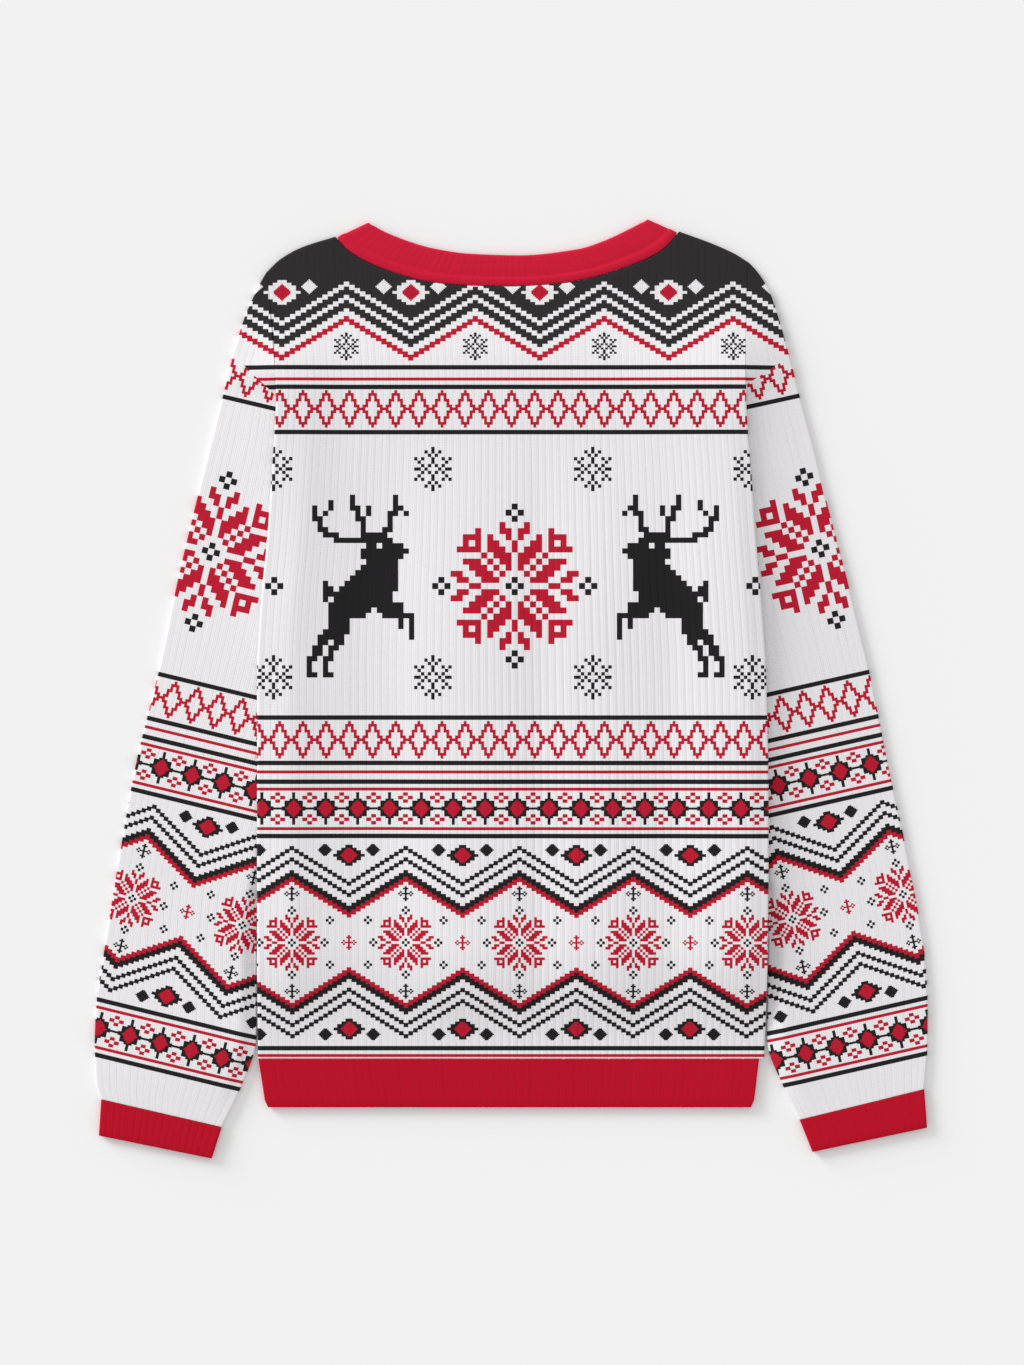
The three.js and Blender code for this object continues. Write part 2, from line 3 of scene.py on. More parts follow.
import bpy
import numpy as np
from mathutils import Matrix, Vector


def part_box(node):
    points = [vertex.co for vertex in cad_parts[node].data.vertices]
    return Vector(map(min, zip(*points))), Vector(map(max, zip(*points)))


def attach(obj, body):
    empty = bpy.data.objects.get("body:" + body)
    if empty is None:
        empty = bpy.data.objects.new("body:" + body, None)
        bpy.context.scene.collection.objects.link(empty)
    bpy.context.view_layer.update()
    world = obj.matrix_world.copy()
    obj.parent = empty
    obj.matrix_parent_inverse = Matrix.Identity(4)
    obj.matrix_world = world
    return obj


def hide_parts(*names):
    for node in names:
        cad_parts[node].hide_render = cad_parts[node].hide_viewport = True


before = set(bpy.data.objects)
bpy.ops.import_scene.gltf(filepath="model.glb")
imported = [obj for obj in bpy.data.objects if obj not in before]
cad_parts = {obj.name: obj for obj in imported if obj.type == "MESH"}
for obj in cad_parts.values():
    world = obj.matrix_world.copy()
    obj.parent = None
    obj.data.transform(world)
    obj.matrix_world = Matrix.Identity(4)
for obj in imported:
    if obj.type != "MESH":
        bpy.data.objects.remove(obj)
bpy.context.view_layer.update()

MM = 0.001

# Cloth
WALL = 1.6
BAND_WALL = 2.0
GAP = 0.3
SEAM = 0.1
RIB_DEPTH = 0.22
RIBS = {"shoulder": 10, "neck": 48, "sleeve": 20, "cuff": 17}
FINE = 6
PLAIN = {"shoulder": 4, "neck": 32}
EDGE_ROUND = 0.7
UNDER_EDGE = 1.0
INNER_EDGE = 0.4
RIB_PITCH = 5.4
# How deep the ribs are on each piece, as shares of the full depth
RIB_SHARE = {"sleeve": 0.45, "left_cuff": 1.0, "right_cuff": 0.5, "hem": 0.4}

# Body
HEM_SEAM_Y = -277.2
HEM_EDGE_Y = -313.5
ARMHOLE_Y = 220.3
LEVEL_Y = 248.0
# y, left edge, right edge
BODY_SIDES = [
    (-277.2, -190.0, 189.4),
    (-200.0, -190.1, 191.3),
    (-96.2, -190.1, 192.0),
    (8.8, -190.1, 190.1),
    (66.6, -187.1, 186.4),
    (111.6, -182.6, 182.6),
    (164.8, -178.9, 178.9),
    (192.6, -177.0, 176.6),
    (220.3, -175.9, 175.2),
    (237.6, -176.6, 175.1),
    (280.0, -180.2, 176.0),
    (319.6, -182.6, 177.4),
]
# x, y
SHOULDER_LEFT = [(-182.6, 313.1), (-173.6, 321.6), (-158.0, 330.4), (-132.1, 338.8)]
SHOULDER_RIGHT = [(125.6, 342.6), (150.0, 333.7), (166.9, 326.1), (177.4, 319.6)]
NECK_SEAM = [
    (-132.1, 338.8),
    (-122.3, 328.3),
    (-105.7, 318.6),
    (-86.3, 311.1),
    (-65.6, 305.5),
    (-37.9, 302.5),
    (-3.0, 301.5),
    (37.1, 303.8),
    (64.9, 309.2),
    (86.3, 316.1),
    (107.6, 325.3),
    (118.4, 333.6),
    (125.6, 342.6),
]
NECK_EDGE = [
    (-107.8, 349.6),
    (-91.9, 341.1),
    (-58.9, 330.2),
    (-31.1, 326.1),
    (6.4, 324.9),
    (49.6, 329.5),
    (67.9, 335.2),
    (89.3, 345.1),
    (102.4, 352.0),
]
FRONT_SEAM_DROP = 85.0
FRONT_EDGE_DROP = 72.0
NECK_BACK_Z = 2 * WALL + GAP - 0.6
NECK_FRONT_Z = WALL / 2
NECK_FOLD_INSET = 1.9
NECK_FOLD_STEPS = 8
NECK_TIP = {"reach": 5.0, "depth": 0.4}
# The neck band's section: a share of its width from seam to free edge, of its thickness, and of a rib
NECK_SECTION = [
    (0.0, -0.5, 0.0),
    (0.0, 0.15, 0.0),
    (0.02, 0.36, 0.1),
    (0.06, 0.48, 0.3),
    (0.13, 0.6, 0.4),
    (0.2, 0.66, 0.2),
    (0.25, 0.56, 0.1),
    (0.28, 0.36, 0.3),
    (0.33, 0.42, 1.0),
    (0.55, 0.43, 1.0),
    (0.75, 0.43, 1.0),
    (0.9, 0.42, 1.0),
    (0.96, 0.34, 0.8),
    (0.99, 0.1, 0.3),
    (1.0, -0.4, 0.0),
]

# Hem and cuffs
# y, left edge, right edge, pinch
HEM_ROWS = [
    (HEM_SEAM_Y - SEAM, -189.7, 185.5, 0.0),
    (-308.0, -185.0, 181.9, 0.0),
    (HEM_EDGE_Y, -182.6, 179.6, 0.7),
]
CUFFS = {
    "left": {
        "outer": (307.5, -307.5),
        "inner": (217.1, -328.4),
        "outer_end": (309.2, -334.7),
        "inner_end": (224.6, -351.9),
    },
    "right": {
        "outer": (309.3, -299.9),
        "inner": (215.9, -322.9),
        "outer_end": (311.4, -328.8),
        "inner_end": (225.5, -347.0),
    },
}
CUFF_SPAN = (0.012, 0.86, 1.0)
CUFF_PINCH = 0.7

# Sleeves, as distances from the centre line: y, left, right
SLEEVE_OUTER = [
    (319.6, 178.0, 177.8),
    (313.1, 183.0, 183.8),
    (299.1, 190.9, 192.8),
    (276.6, 200.6, 200.5),
    (246.6, 209.6, 209.0),
    (216.6, 217.1, 216.7),
    (186.6, 224.6, 224.9),
    (141.6, 235.9, 235.8),
    (81.6, 250.1, 251.6),
    (6.6, 265.9, 269.6),
    (-53.4, 280.9, 281.5),
    (-128.4, 294.4, 297.4),
    (-203.4, 306.4, 310.0),
    (-233.4, 310.9, 311.9),
    (-263.4, 312.4, 311.9),
    (-293.4, 311.4, 310.0),
    (-307.5, 307.5, 308.0),
]
SLEEVE_INNER = [
    (130.0, 100.0, 100.0),
    (-30.0, 147.0, 147.0),
    (-190.0, 190.6, 192.2),
    (-230.0, 190.8, 191.8),
    (-262.0, 191.2, 191.4),
    (-300.0, 203.3, 204.6),
    (-328.4, 217.1, 218.5),
]
# Shares of the way down the outer and the inner edge, and how far the ribs crowd outwards
SLEEVE_ROWS = [
    (0.0, 0.0, 0.0),
    (0.069, 0.039, 0.05),
    (0.147, 0.083, 0.1),
    (0.231, 0.131, 0.15),
    (0.319, 0.179, 0.2),
    (0.408, 0.245, 0.2),
    (0.5, 0.36, 0.2),
    (0.6, 0.49, 0.2),
    (0.7, 0.61, 0.2),
    (0.778, 0.7, 0.15),
    (0.853, 0.79, 0.1),
    (0.927, 0.884, 0.05),
    (1.0, 1.0, 0.0),
]
SLEEVE_TOP_Y = {"left": 313.1, "right": 319.6}
UNDERARM_Y = 130.0
RIM_FADE = 0.3
SLEEVE_CROWN = 3.0
SLEEVE_ROLL = {"left": 0.6, "right": 1.5}
ROLL_REACH = 44.0
CAP_REACH = 60.0
CAP_START = (221.0, 240.0)
CROWN_RAMP = {"under_body": 45.0, "inner": 14.0}

# Where the body lies over the sleeves
LIFT = 4.9
LIFT_MORE = {"left": 0.0, "right": 2.0}
LIFT_MORE_BELOW = (40.0, 190.0)
LIFT_MARGIN = 14.0
LIFT_RAMP = 30.0
LIFT_ABOVE_RIM = 8.0
LIFT_TOP_RAMP = 60.0
LIFT_BOTTOM = (-232.0, -190.0)

# The back stays as high between the sleeves
LOFT_BOTTOM = (-277.2, -190.0)
LOFT_TOP = (228.0, 300.0)
LOFT_TURN = (-170.0, 170.0)
LOFT_UNDER = {"left": 55.0, "right": 110.0}
DOME = 1.5
DOME_HALF_WIDTH = 190.0

# Soft long folds of the back: x, lean, from, to, half width, rise
FOLDS = [
    (-158, 0.02, -262, 250, 44, 2.4),
    (-27, 0.0, -268, 245, 60, 3.2),
    (68, 0.01, -268, 245, 54, 3.1),
    (160, -0.01, -262, 250, 46, 1.5),
]
FOLD_FADE = {"low": 50.0, "high": 190.0}
FOLD_SOFT = [(-10.0, 1.0), (-5.0, 2.0), (0.0, 3.0), (5.0, 2.0), (10.0, 1.0)]
BASE_PUFF = 0.4
PUFF_SIDE_FADE = {"left": 28.0, "right": 14.0}
PUFF_END_FADE = 55.0

SIGN = {"left": -1.0, "right": 1.0}


def smoothstep(value, low, high):
    share = np.clip((value - low) / (high - low), 0.0, 1.0)
    return share * share * (3 - 2 * share)


def lerp(a, b, share):
    return a + (b - a) * share


def curve(pairs):
    """A smooth line through (along, across) pairs that doesn't overshoot them."""
    pairs = sorted(pairs)
    along = np.array([pair[0] for pair in pairs], float)
    across = np.array([pair[1] for pair in pairs], float)
    spans = np.diff(along)
    secants = np.diff(across) / spans
    before = np.concatenate([secants[:1], secants])
    after = np.concatenate([secants, secants[-1:]])
    same_way = before * after > 0
    total = np.where(same_way, before + after, 1.0)
    slopes = np.where(same_way, 2 * before * after / total, 0.0)

    def at(value):
        value = np.clip(value, along[0], along[-1])
        i = np.clip(np.searchsorted(along, value, side="right") - 1, 0, len(spans) - 1)
        span = spans[i]
        t = (value - along[i]) / span
        return (
            across[i] * (1 + 2 * t) * (1 - t) ** 2
            + slopes[i] * span * t * (1 - t) ** 2
            + across[i + 1] * t * t * (3 - 2 * t)
            + slopes[i + 1] * span * t * t * (t - 1)
        )

    return at


def columns_of(table, column):
    return [(row[0], row[column]) for row in table]


body_left = curve(columns_of(BODY_SIDES, 1))
body_right = curve(columns_of(BODY_SIDES, 2))
body_edge = {
    "left": body_left,
    "right": body_right,
}
shoulder_left = curve(SHOULDER_LEFT)
shoulder_right = curve(SHOULDER_RIGHT)
neck_seam = curve(NECK_SEAM)
neck_edge = curve(NECK_EDGE)
sleeve_outer = {"left": curve(columns_of(SLEEVE_OUTER, 1)), "right": curve(columns_of(SLEEVE_OUTER, 2))}
sleeve_inner = {"left": curve(columns_of(SLEEVE_INNER, 1)), "right": curve(columns_of(SLEEVE_INNER, 2))}
NECK_LEFT = NECK_SEAM[0]
NECK_RIGHT = NECK_SEAM[-1]
EDGE_LEFT = NECK_EDGE[0]
EDGE_RIGHT = NECK_EDGE[-1]
ARMHOLE_LEFT = SHOULDER_LEFT[0]
ARMHOLE_RIGHT = SHOULDER_RIGHT[-1]

# The CAD's origin is the middle of the garment's box, so the tables shift to it
hem_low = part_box("hem_band")[0]
SHIFT = np.array([hem_low[0] / MM - HEM_ROWS[0][1], hem_low[1] / MM - HEM_EDGE_Y, 0.0])


class Skin:
    """Collects faces of points, with two flat maps each, and makes one mesh whose faces point out."""

    def __init__(self):
        self.points = []
        self.faces = []
        self.slots = []
        self.count = 0

    def add(self, points):
        """points is an array whose last axis holds x, y, z, and then the knit and print maps."""
        flat = points.reshape(-1, points.shape[-1])
        numbers = np.arange(self.count, self.count + len(flat)).reshape(points.shape[:-1])
        self.points.append(flat)
        self.count += len(flat)
        return numbers

    def grid(self, numbers, ring=False, loop=False, flipped=False, slot=0):
        rows = np.concatenate([numbers, numbers[:1]]) if loop else numbers
        if ring:
            rows = np.concatenate([rows, rows[:, :1]], axis=1)
        corners = [rows[:-1, :-1], rows[:-1, 1:], rows[1:, 1:], rows[1:, :-1]]
        quads = np.stack(corners, axis=-1).reshape(-1, 4)
        if flipped:
            quads = quads[:, ::-1]
        self.faces.extend(quads.tolist())
        self.slots.extend([slot] * len(quads))

    def strip(self, one, other, ring=False, slot=0):
        """Joins two edges that may have different numbers of points."""
        if ring:
            one = np.append(one, one[0])
            other = np.append(other, other[0])
        all_points = np.concatenate(self.points)[:, :3]
        share_one = shares(all_points[one])
        share_other = shares(all_points[other])
        i = 0
        j = 0
        while i < len(one) - 1 or j < len(other) - 1:
            if j == len(other) - 1 or (i < len(one) - 1 and share_one[i + 1] <= share_other[j + 1]):
                self.faces.append([int(one[i]), int(one[i + 1]), int(other[j])])
                i += 1
            else:
                self.faces.append([int(one[i]), int(other[j + 1]), int(other[j])])
                j += 1
            self.slots.append(slot)

    def object(self, name, materials):
        points = np.concatenate(self.points)
        places = (points[:, :3] + SHIFT) * MM
        keys = np.round(places / 1e-7).astype(np.int64)
        _, first, same = np.unique(keys, axis=0, return_index=True, return_inverse=True)
        same = same.reshape(-1)
        faces = []
        kept = []
        slots = []
        for face, slot in zip(self.faces, self.slots):
            merged = [int(same[v]) for v in face]
            unique = list(dict.fromkeys(merged))
            if len(unique) > 2:
                faces.append(unique)
                kept.append([face[merged.index(v)] for v in unique])
                slots.append(slot)
        vertices = places[first]
        if signed_volume(vertices, faces) < 0:
            faces = [face[::-1] for face in faces]
            kept = [face[::-1] for face in kept]
        mesh = bpy.data.meshes.new(name)
        mesh.from_pydata(vertices.tolist(), [], faces)
        corner = np.array([v for face in kept for v in face])
        for index, map_name in enumerate(["Knit", "Print"]):
            layer = mesh.uv_layers.new(name=map_name)
            map_places = points[corner, 3 + 2 * index : 5 + 2 * index].astype(np.float32)
            layer.data.foreach_set("uv", map_places.ravel())
        for material in materials:
            mesh.materials.append(material)
        mesh.polygons.foreach_set("material_index", slots)
        mesh.polygons.foreach_set("use_smooth", [True] * len(faces))
        mesh.update()
        piece = bpy.data.objects.new(name, mesh)
        bpy.context.scene.collection.objects.link(piece)
        return piece


def signed_volume(vertices, faces):
    fans = [(face[0], face[k], face[k + 1]) for face in faces for k in range(1, len(face) - 1)]
    corners = vertices[np.array(fans)]
    total = np.einsum("ij,ij->i", corners[:, 0], np.cross(corners[:, 1], corners[:, 2])).sum()
    return total / 6


def shares(points):
    lengths = np.concatenate([[0.0], np.cumsum(np.linalg.norm(np.diff(points, axis=0), axis=1))])
    return lengths / lengths[-1]


# The print runs level over the body and the caps, and square to the sleeve below them
SLEEVE_TURN = {"left": math.radians(13.56), "right": math.radians(12.66)}
PRINT_CENTRE = (2.4, 76.7)
SLEEVE_STAR = {"left": (-225.1, 102.65), "right": (231.3, 105.1)}


def print_map(x, y, side=None):
    """Where a point lies on the flat print, in the body's own frame."""
    if side is None:
        return x, y
    star_x, star_y = SLEEVE_STAR[side]
    turn = -SIGN[side] * SLEEVE_TURN[side]
    across = x - star_x
    along = y - star_y
    return (
        PRINT_CENTRE[0] + across * math.cos(turn) - along * math.sin(turn),
        PRINT_CENTRE[1] + across * math.sin(turn) + along * math.cos(turn),
    )


def with_maps(x, y, z, rib, side=None):
    """Stacks points with their knit map (rib number, course) and print map (metres)."""
    x, y, z, rib = np.broadcast_arrays(x, y, z, rib)
    print_x, print_y = print_map(x, y, side)
    along = y if side is None else print_y
    return np.stack([x, y, z, rib, along / RIB_PITCH, print_x * MM, print_y * MM], axis=-1)


# How a rib's number becomes an uneven share
SCATTER = {"turn": 12.9898, "reach": 437.585}
GROOVE = {"sharpness": 0.4, "least": 0.55, "more": 0.45}
CREASE = {"narrow": 6, "most": 0.4, "turn": 0.3}
SLACK = {"least": 0.8, "x": (-90, 20), "y": (60, 260), "side_x": (110, 180), "side_loss": 0.5}
CROWN_BOTTOM = (-326, -262)
CROWN_TOP = (215, 300)


def uneven(number):
    """A fixed share from 0 to 1 for a whole number, as uneven as hand-dealt cards."""
    return np.mod(np.sin(number * SCATTER["turn"]) * SCATTER["reach"], 1.0)


def rib_form(number):
    """A rib's rise: nearly flat, with a narrow groove of its own depth at each whole number."""
    groove = 1 - np.abs(np.sin(np.pi * number)) ** GROOVE["sharpness"]
    middle = np.clip(1 - CREASE["narrow"] * np.abs(np.mod(number, 1.0) - 0.5), 0, 1)
    depth = GROOVE["least"] + GROOVE["more"] * uneven(np.round(number))
    crease = CREASE["most"] * uneven(np.floor(number) + CREASE["turn"])
    return RIB_DEPTH * (1 - depth * groove - crease * middle)


def rib_depth(x, y):
    """The back's ribs are deepest where the cloth is slack, low on its right half."""
    slack = smoothstep(x, *SLACK["x"]) * (1 - smoothstep(y, *SLACK["y"]))
    side = 1 - SLACK["side_loss"] * smoothstep(x, *SLACK["side_x"])
    return SLACK["least"] + slack * side


def crown_ends(y):
    return smoothstep(y, *CROWN_BOTTOM) * (1 - smoothstep(y, *CROWN_TOP))


def lift_height(side, y):
    return LIFT + LIFT_MORE[side] * (1 - smoothstep(y, *LIFT_MORE_BELOW))


def cap_rise(side, x, y):
    """Past the armhole's corner the cap rises to the body that it is sewn to."""
    from_seam = np.maximum(np.abs(x) - np.abs(body_edge[side](y)), 0)
    share = np.clip(1 - from_seam / CAP_REACH, 0, 1) ** 2
    return LIFT * share * smoothstep(y, *CAP_START) * (1 - smoothstep(y, *LOFT_TOP))


def sleeve_crown(side):
    """How far a sleeve puffs up: it rises evenly from its outer edge to the body's side."""

    def crown(x, y):
        distance = np.abs(x)
        outer = sleeve_outer[side](y)
        edge = np.maximum(np.abs(body_edge[side](y)), sleeve_inner[side](y))
        share = np.clip((outer - distance) / np.maximum(outer - edge, 1), 0, 1)
        under = 1 - smoothstep(edge - distance, 0, CROWN_RAMP["under_body"])
        roll = SLEEVE_ROLL[side] * np.clip(1 - np.maximum(distance - edge, 0) / ROLL_REACH, 0, 1) ** 2
        inner = smoothstep(distance - sleeve_inner[side](y), 0, CROWN_RAMP["inner"])
        return (SLEEVE_CROWN * share + roll) * crown_ends(y) * under * inner

    return crown


# Body panels
def hidden_rim_y(side, distance):
    underarm = sleeve_inner[side](UNDERARM_Y)
    share = (distance - underarm) / (abs(body_edge[side](ARMHOLE_Y)) - underarm)
    return lerp(UNDERARM_Y, ARMHOLE_Y, np.clip(share, 0, 1))


def lift_of(side, x, y):
    distance = np.abs(x)
    inside = sleeve_inner[side](y) - distance - LIFT_MARGIN
    above = y - hidden_rim_y(side, distance) - LIFT_ABOVE_RIM
    return (
        (lift_height(side, y) + sleeve_crown(side)(x, y))
        * (1 - smoothstep(inside, 0, LIFT_RAMP))
        * (1 - smoothstep(above, 0, LIFT_TOP_RAMP))
        * smoothstep(y, *LIFT_BOTTOM)
    )


def lift(x, y):
    return np.where(x < 0, lift_of("left", x, y), lift_of("right", x, y))


def crown_at_edge(side, x, y):
    """What the sleeve's crown adds to the back: all of it at the body's edge, and less further in."""
    inside = np.abs(body_edge[side](y)) - np.abs(x)
    under = 1 - smoothstep(inside, 0, LOFT_UNDER[side])
    return (SLEEVE_CROWN + SLEEVE_ROLL[side]) * crown_ends(y) * under


def loft(x, y):
    ends = smoothstep(y, *LOFT_BOTTOM) * (1 - smoothstep(y, *LOFT_TOP))
    dome = DOME * np.clip(1 - (x / DOME_HALF_WIDTH) ** 2, 0, 1)
    crown = np.where(x < 0, crown_at_edge("left", x, y), crown_at_edge("right", x, y))
    level = lerp(lift_height("left", y), lift_height("right", y), smoothstep(x, *LOFT_TURN))
    return ends * (level + crown + dome)


def fold_height(x, y):
    highest = np.zeros(np.broadcast(x, y).shape)
    for fold_x, lean, start, end, half_width, rise in FOLDS:
        off = np.clip(np.abs(x - fold_x - lean * y) / half_width, 0, 1)
        low_end = smoothstep(y, start, start + FOLD_FADE["low"])
        ends = low_end * (1 - smoothstep(y, end - FOLD_FADE["high"], end))
        highest = np.maximum(highest, rise * ends * (1 - off**2))
    return highest


def puff(x, y, top_y):
    fade = (
        smoothstep(x - body_left(y), 0, PUFF_SIDE_FADE["left"])
        * smoothstep(body_right(y) - x, 0, PUFF_SIDE_FADE["right"])
        * smoothstep(top_y - y, 0, PUFF_END_FADE)
        * smoothstep(y - HEM_SEAM_Y, 0, PUFF_END_FADE)
    )
    weights = sum(weight for _, weight in FOLD_SOFT)
    soft = sum(weight * fold_height(x + step, y) for step, weight in FOLD_SOFT) / weights
    return fade * (BASE_PUFF + soft)


def panel_columns(shoulder_count, neck_count):
    """Columns of a panel as shares of its width, evenly spaced between its top's corners."""
    places = np.concatenate([
        np.linspace(ARMHOLE_LEFT[0], NECK_LEFT[0], shoulder_count + 1)[:-1],
        np.linspace(NECK_LEFT[0], NECK_RIGHT[0], neck_count + 1),
        np.linspace(NECK_RIGHT[0], ARMHOLE_RIGHT[0], shoulder_count + 1)[1:],
    ])
    return (places - ARMHOLE_LEFT[0]) / (ARMHOLE_RIGHT[0] - ARMHOLE_LEFT[0])


def shoulder_top(x):
    return np.where(x < 0, shoulder_left(x), shoulder_right(x))


def back_top(x):
    beside = (x <= NECK_LEFT[0]) | (x >= NECK_RIGHT[0])
    return np.where(beside, shoulder_top(x), neck_seam(x))


def front_neck(share, left, right, drop):
    y = lerp(left[1], right[1], share) - drop * np.sqrt(np.clip(1 - (2 * share - 1) ** 2, 0, 1))
    return lerp(left[0], right[0], share), y


def front_top(x):
    share = (x - NECK_LEFT[0]) / (NECK_RIGHT[0] - NECK_LEFT[0])
    beside = (share <= 0) | (share >= 1)
    return np.where(beside, shoulder_top(x), front_neck(share, NECK_LEFT, NECK_RIGHT, FRONT_SEAM_DROP)[1])


def top_point(share, top):
    y = np.full(np.shape(share), BODY_SIDES[-1][0])
    x = y
    for _ in range(12):
        x = lerp(body_left(y), body_right(y), share)
        y = top(x)
    return x, y


ROW_STEP = 5.5
TOP_STEPS = 14
EDGE_STEPS = (4.0, 2.0, 0.8, 0.0)


def panel_places(share_list, top):
    """x and y of a panel's points, and the y where each column ends."""
    _, top_y = top_point(share_list, top)
    near_hem = [HEM_SEAM_Y + step for step in reversed(EDGE_STEPS)]
    rows = round((LEVEL_Y - near_hem[-1]) / ROW_STEP)
    level = np.concatenate([near_hem[:-1], np.linspace(near_hem[-1], LEVEL_Y, rows + 1)])
    y_rows = [np.full(len(share_list), y) for y in level]
    y_rows += [lerp(LEVEL_Y, top_y - EDGE_STEPS[0], k / TOP_STEPS) for k in range(1, TOP_STEPS)]
    y_rows += [top_y - step for step in EDGE_STEPS]
    y = np.stack(y_rows)
    x = lerp(body_left(y), body_right(y), share_list)
    return x, y, top_y


def slab(name, upper, lower, slots, materials):
    skin = Skin()
    top = skin.add(upper)
    under = skin.add(lower)
    skin.grid(top, slot=slots[0])
    skin.grid(under, flipped=True, slot=slots[1])
    edge_slot = 0
    skin.strip(under[0], top[0], slot=edge_slot)
    skin.strip(top[-1], under[-1], slot=edge_slot)
    skin.strip(top[:, 0], under[:, 0], slot=edge_slot)
    skin.strip(under[:, -1], top[:, -1], slot=edge_slot)
    return skin.object(name, materials)


EDGE_SOFT = 1.4
EDGE_KEEP = 0.62
SEWN_SIDES = (212.0, 240.0)


def soft_edge(x, y, top_y):
    """From 0 at a panel's edge to 1 a little way in, as a rounded corner."""
    from_side = np.minimum(x - body_left(y), body_right(y) - x) + EDGE_SOFT * smoothstep(y, *SEWN_SIDES)
    near = np.minimum(from_side, top_y - y)
    near = np.clip(near / EDGE_SOFT, 0, 1)
    return np.sqrt(1 - (1 - near) ** 2)


def back_panel(materials):
    fine = panel_columns(FINE * RIBS["shoulder"], FINE * RIBS["neck"])
    plain = panel_columns(PLAIN["shoulder"], PLAIN["neck"])
    x, y, top_y = panel_places(fine, back_top)
    rib = np.arange(len(fine)) / FINE
    under = loft(x, y) + WALL + GAP + puff(x, y, top_y)
    soft = soft_edge(x, y, top_y)
    z = under + WALL * lerp(EDGE_KEEP, 1.0, soft) + rib_depth(x, y) * rib_form(rib) * soft
    upper = with_maps(x, y, z, rib)
    x, y, top_y = panel_places(plain, back_top)
    lower = with_maps(x, y, loft(x, y) + WALL + GAP + puff(x, y, top_y), 0.0)
    return slab("back_cloth", upper, lower, (0, 1), materials)


def front_panel(materials):
    fine = panel_columns(2 * RIBS["shoulder"], 2 * RIBS["neck"])
    x, y, _ = panel_places(fine, front_top)
    rib = np.arange(len(fine)) / 2
    lower = with_maps(x, y, lift(x, y), rib)
    plain = panel_columns(PLAIN["shoulder"], PLAIN["neck"])
    x, y, _ = panel_places(plain, front_top)
    upper = with_maps(x, y, lift(x, y) + WALL, 0.0)
    return slab("front_cloth", upper, lower, (1, 0), materials)


# Flattened tubes
TUBE_EDGE = (0.04, 0.13, 0.28, 0.46)
UNDER_SHARES = (0.12, 0.25, 0.38, 0.5, 0.62, 0.75, 0.88)


def tube_columns(ribs):
    """Rib numbers of a tube's upper wall, from 0 to the count."""
    return np.arange(ribs * FINE + 1) / FINE


def flat_section(start, end, wall, ribs, depth, crowd=0.0, crown=None, bend=None, pinch=0.0):
    """The outer and the inner ring of one section of a flattened tube between two edge points."""
    start = np.array(start)
    end = np.array(end)
    width = np.linalg.norm(end - start)
    flat = 2 * wall + GAP
    middle = flat / 2

    def place(distance):
        share = distance / width
        points = lerp(start, end, share[:, None])
        return points if bend is None else points + bend(share)

    def height(points):
        return flat if crown is None else flat + crown(points[:, 0], points[:, 1])

    def rounded(distance):
        near = np.clip(np.minimum(distance, width - distance) / EDGE_ROUND, 0, 1)
        return np.sqrt(1 - (1 - near) ** 2)

    number = tube_columns(ribs)
    share = number / ribs
    ribbed = EDGE_ROUND + (width - 2 * EDGE_ROUND) * share * (1 - crowd * (1 - share))
    edge = np.array(TUBE_EDGE)
    over = np.concatenate([[0.0], edge, ribbed, width - edge[::-1], [width]])
    numbers = np.concatenate([np.zeros(len(edge) + 1), number, np.full(len(edge) + 1, float(ribs))])
    points = place(over)
    soft = rounded(over)
    z = lerp(middle, height(points), soft) + depth * rib_form(numbers) * soft - pinch * (soft > 0)
    upper = np.column_stack([points, z, numbers])

    between = [width * s for s in UNDER_SHARES]
    below = np.array([UNDER_EDGE, EDGE_ROUND, *between, width - EDGE_ROUND, width - UNDER_EDGE])[::-1]
    points = place(below)
    z = middle * (1 - rounded(below)) + pinch
    under = np.column_stack([points, z, ribs * below / width])

    inset = wall + INNER_EDGE
    inside = np.array([inset, *between, width - inset])
    points = place(inside)
    no_rib = np.zeros(len(inside))
    roof = np.column_stack([points, height(points) - wall + no_rib, no_rib])
    ground = np.column_stack([points, np.full(len(inside), wall), no_rib])[::-1]
    return np.concatenate([upper, under]), np.concatenate([roof, ground])


def tube(name, sections, materials, side=None):
    rings = [np.stack([section[k] for section in sections]) for k in (0, 1)]
    outer, inner = [
        with_maps(ring[..., 0], ring[..., 1], ring[..., 2], ring[..., 3], side) for ring in rings
    ]
    skin = Skin()
    outside = skin.add(outer)
    inside = skin.add(inner)
    skin.grid(outside, ring=True)
    skin.grid(inside, ring=True, flipped=True, slot=1)
    skin.strip(inside[0], outside[0], ring=True)
    skin.strip(outside[-1], inside[-1], ring=True)
    return skin.object(name, materials)


def sleeve_rim(side):
    top_y = SLEEVE_TOP_Y[side]

    def seam(y):
        return np.stack([body_edge[side](y) + SIGN[side] * SEAM, y], axis=-1)

    corner = seam(np.array(ARMHOLE_Y))
    underarm = np.array([SIGN[side] * sleeve_inner[side](UNDERARM_Y), UNDERARM_Y])
    visible = top_y - ARMHOLE_Y
    seam_share = visible / (visible + np.linalg.norm(corner - underarm))

    def at(share):
        on_seam = seam(lerp(top_y, ARMHOLE_Y, np.clip(share / seam_share, 0, 1)))
        past = np.clip((share - seam_share) / (1 - seam_share), 0, 1)[:, None]
        return np.where((share <= seam_share)[:, None], on_seam, lerp(corner, underarm, past))

    return at


SLEEVE_FINE = 9
END_STEPS = (0.03, 0.008)


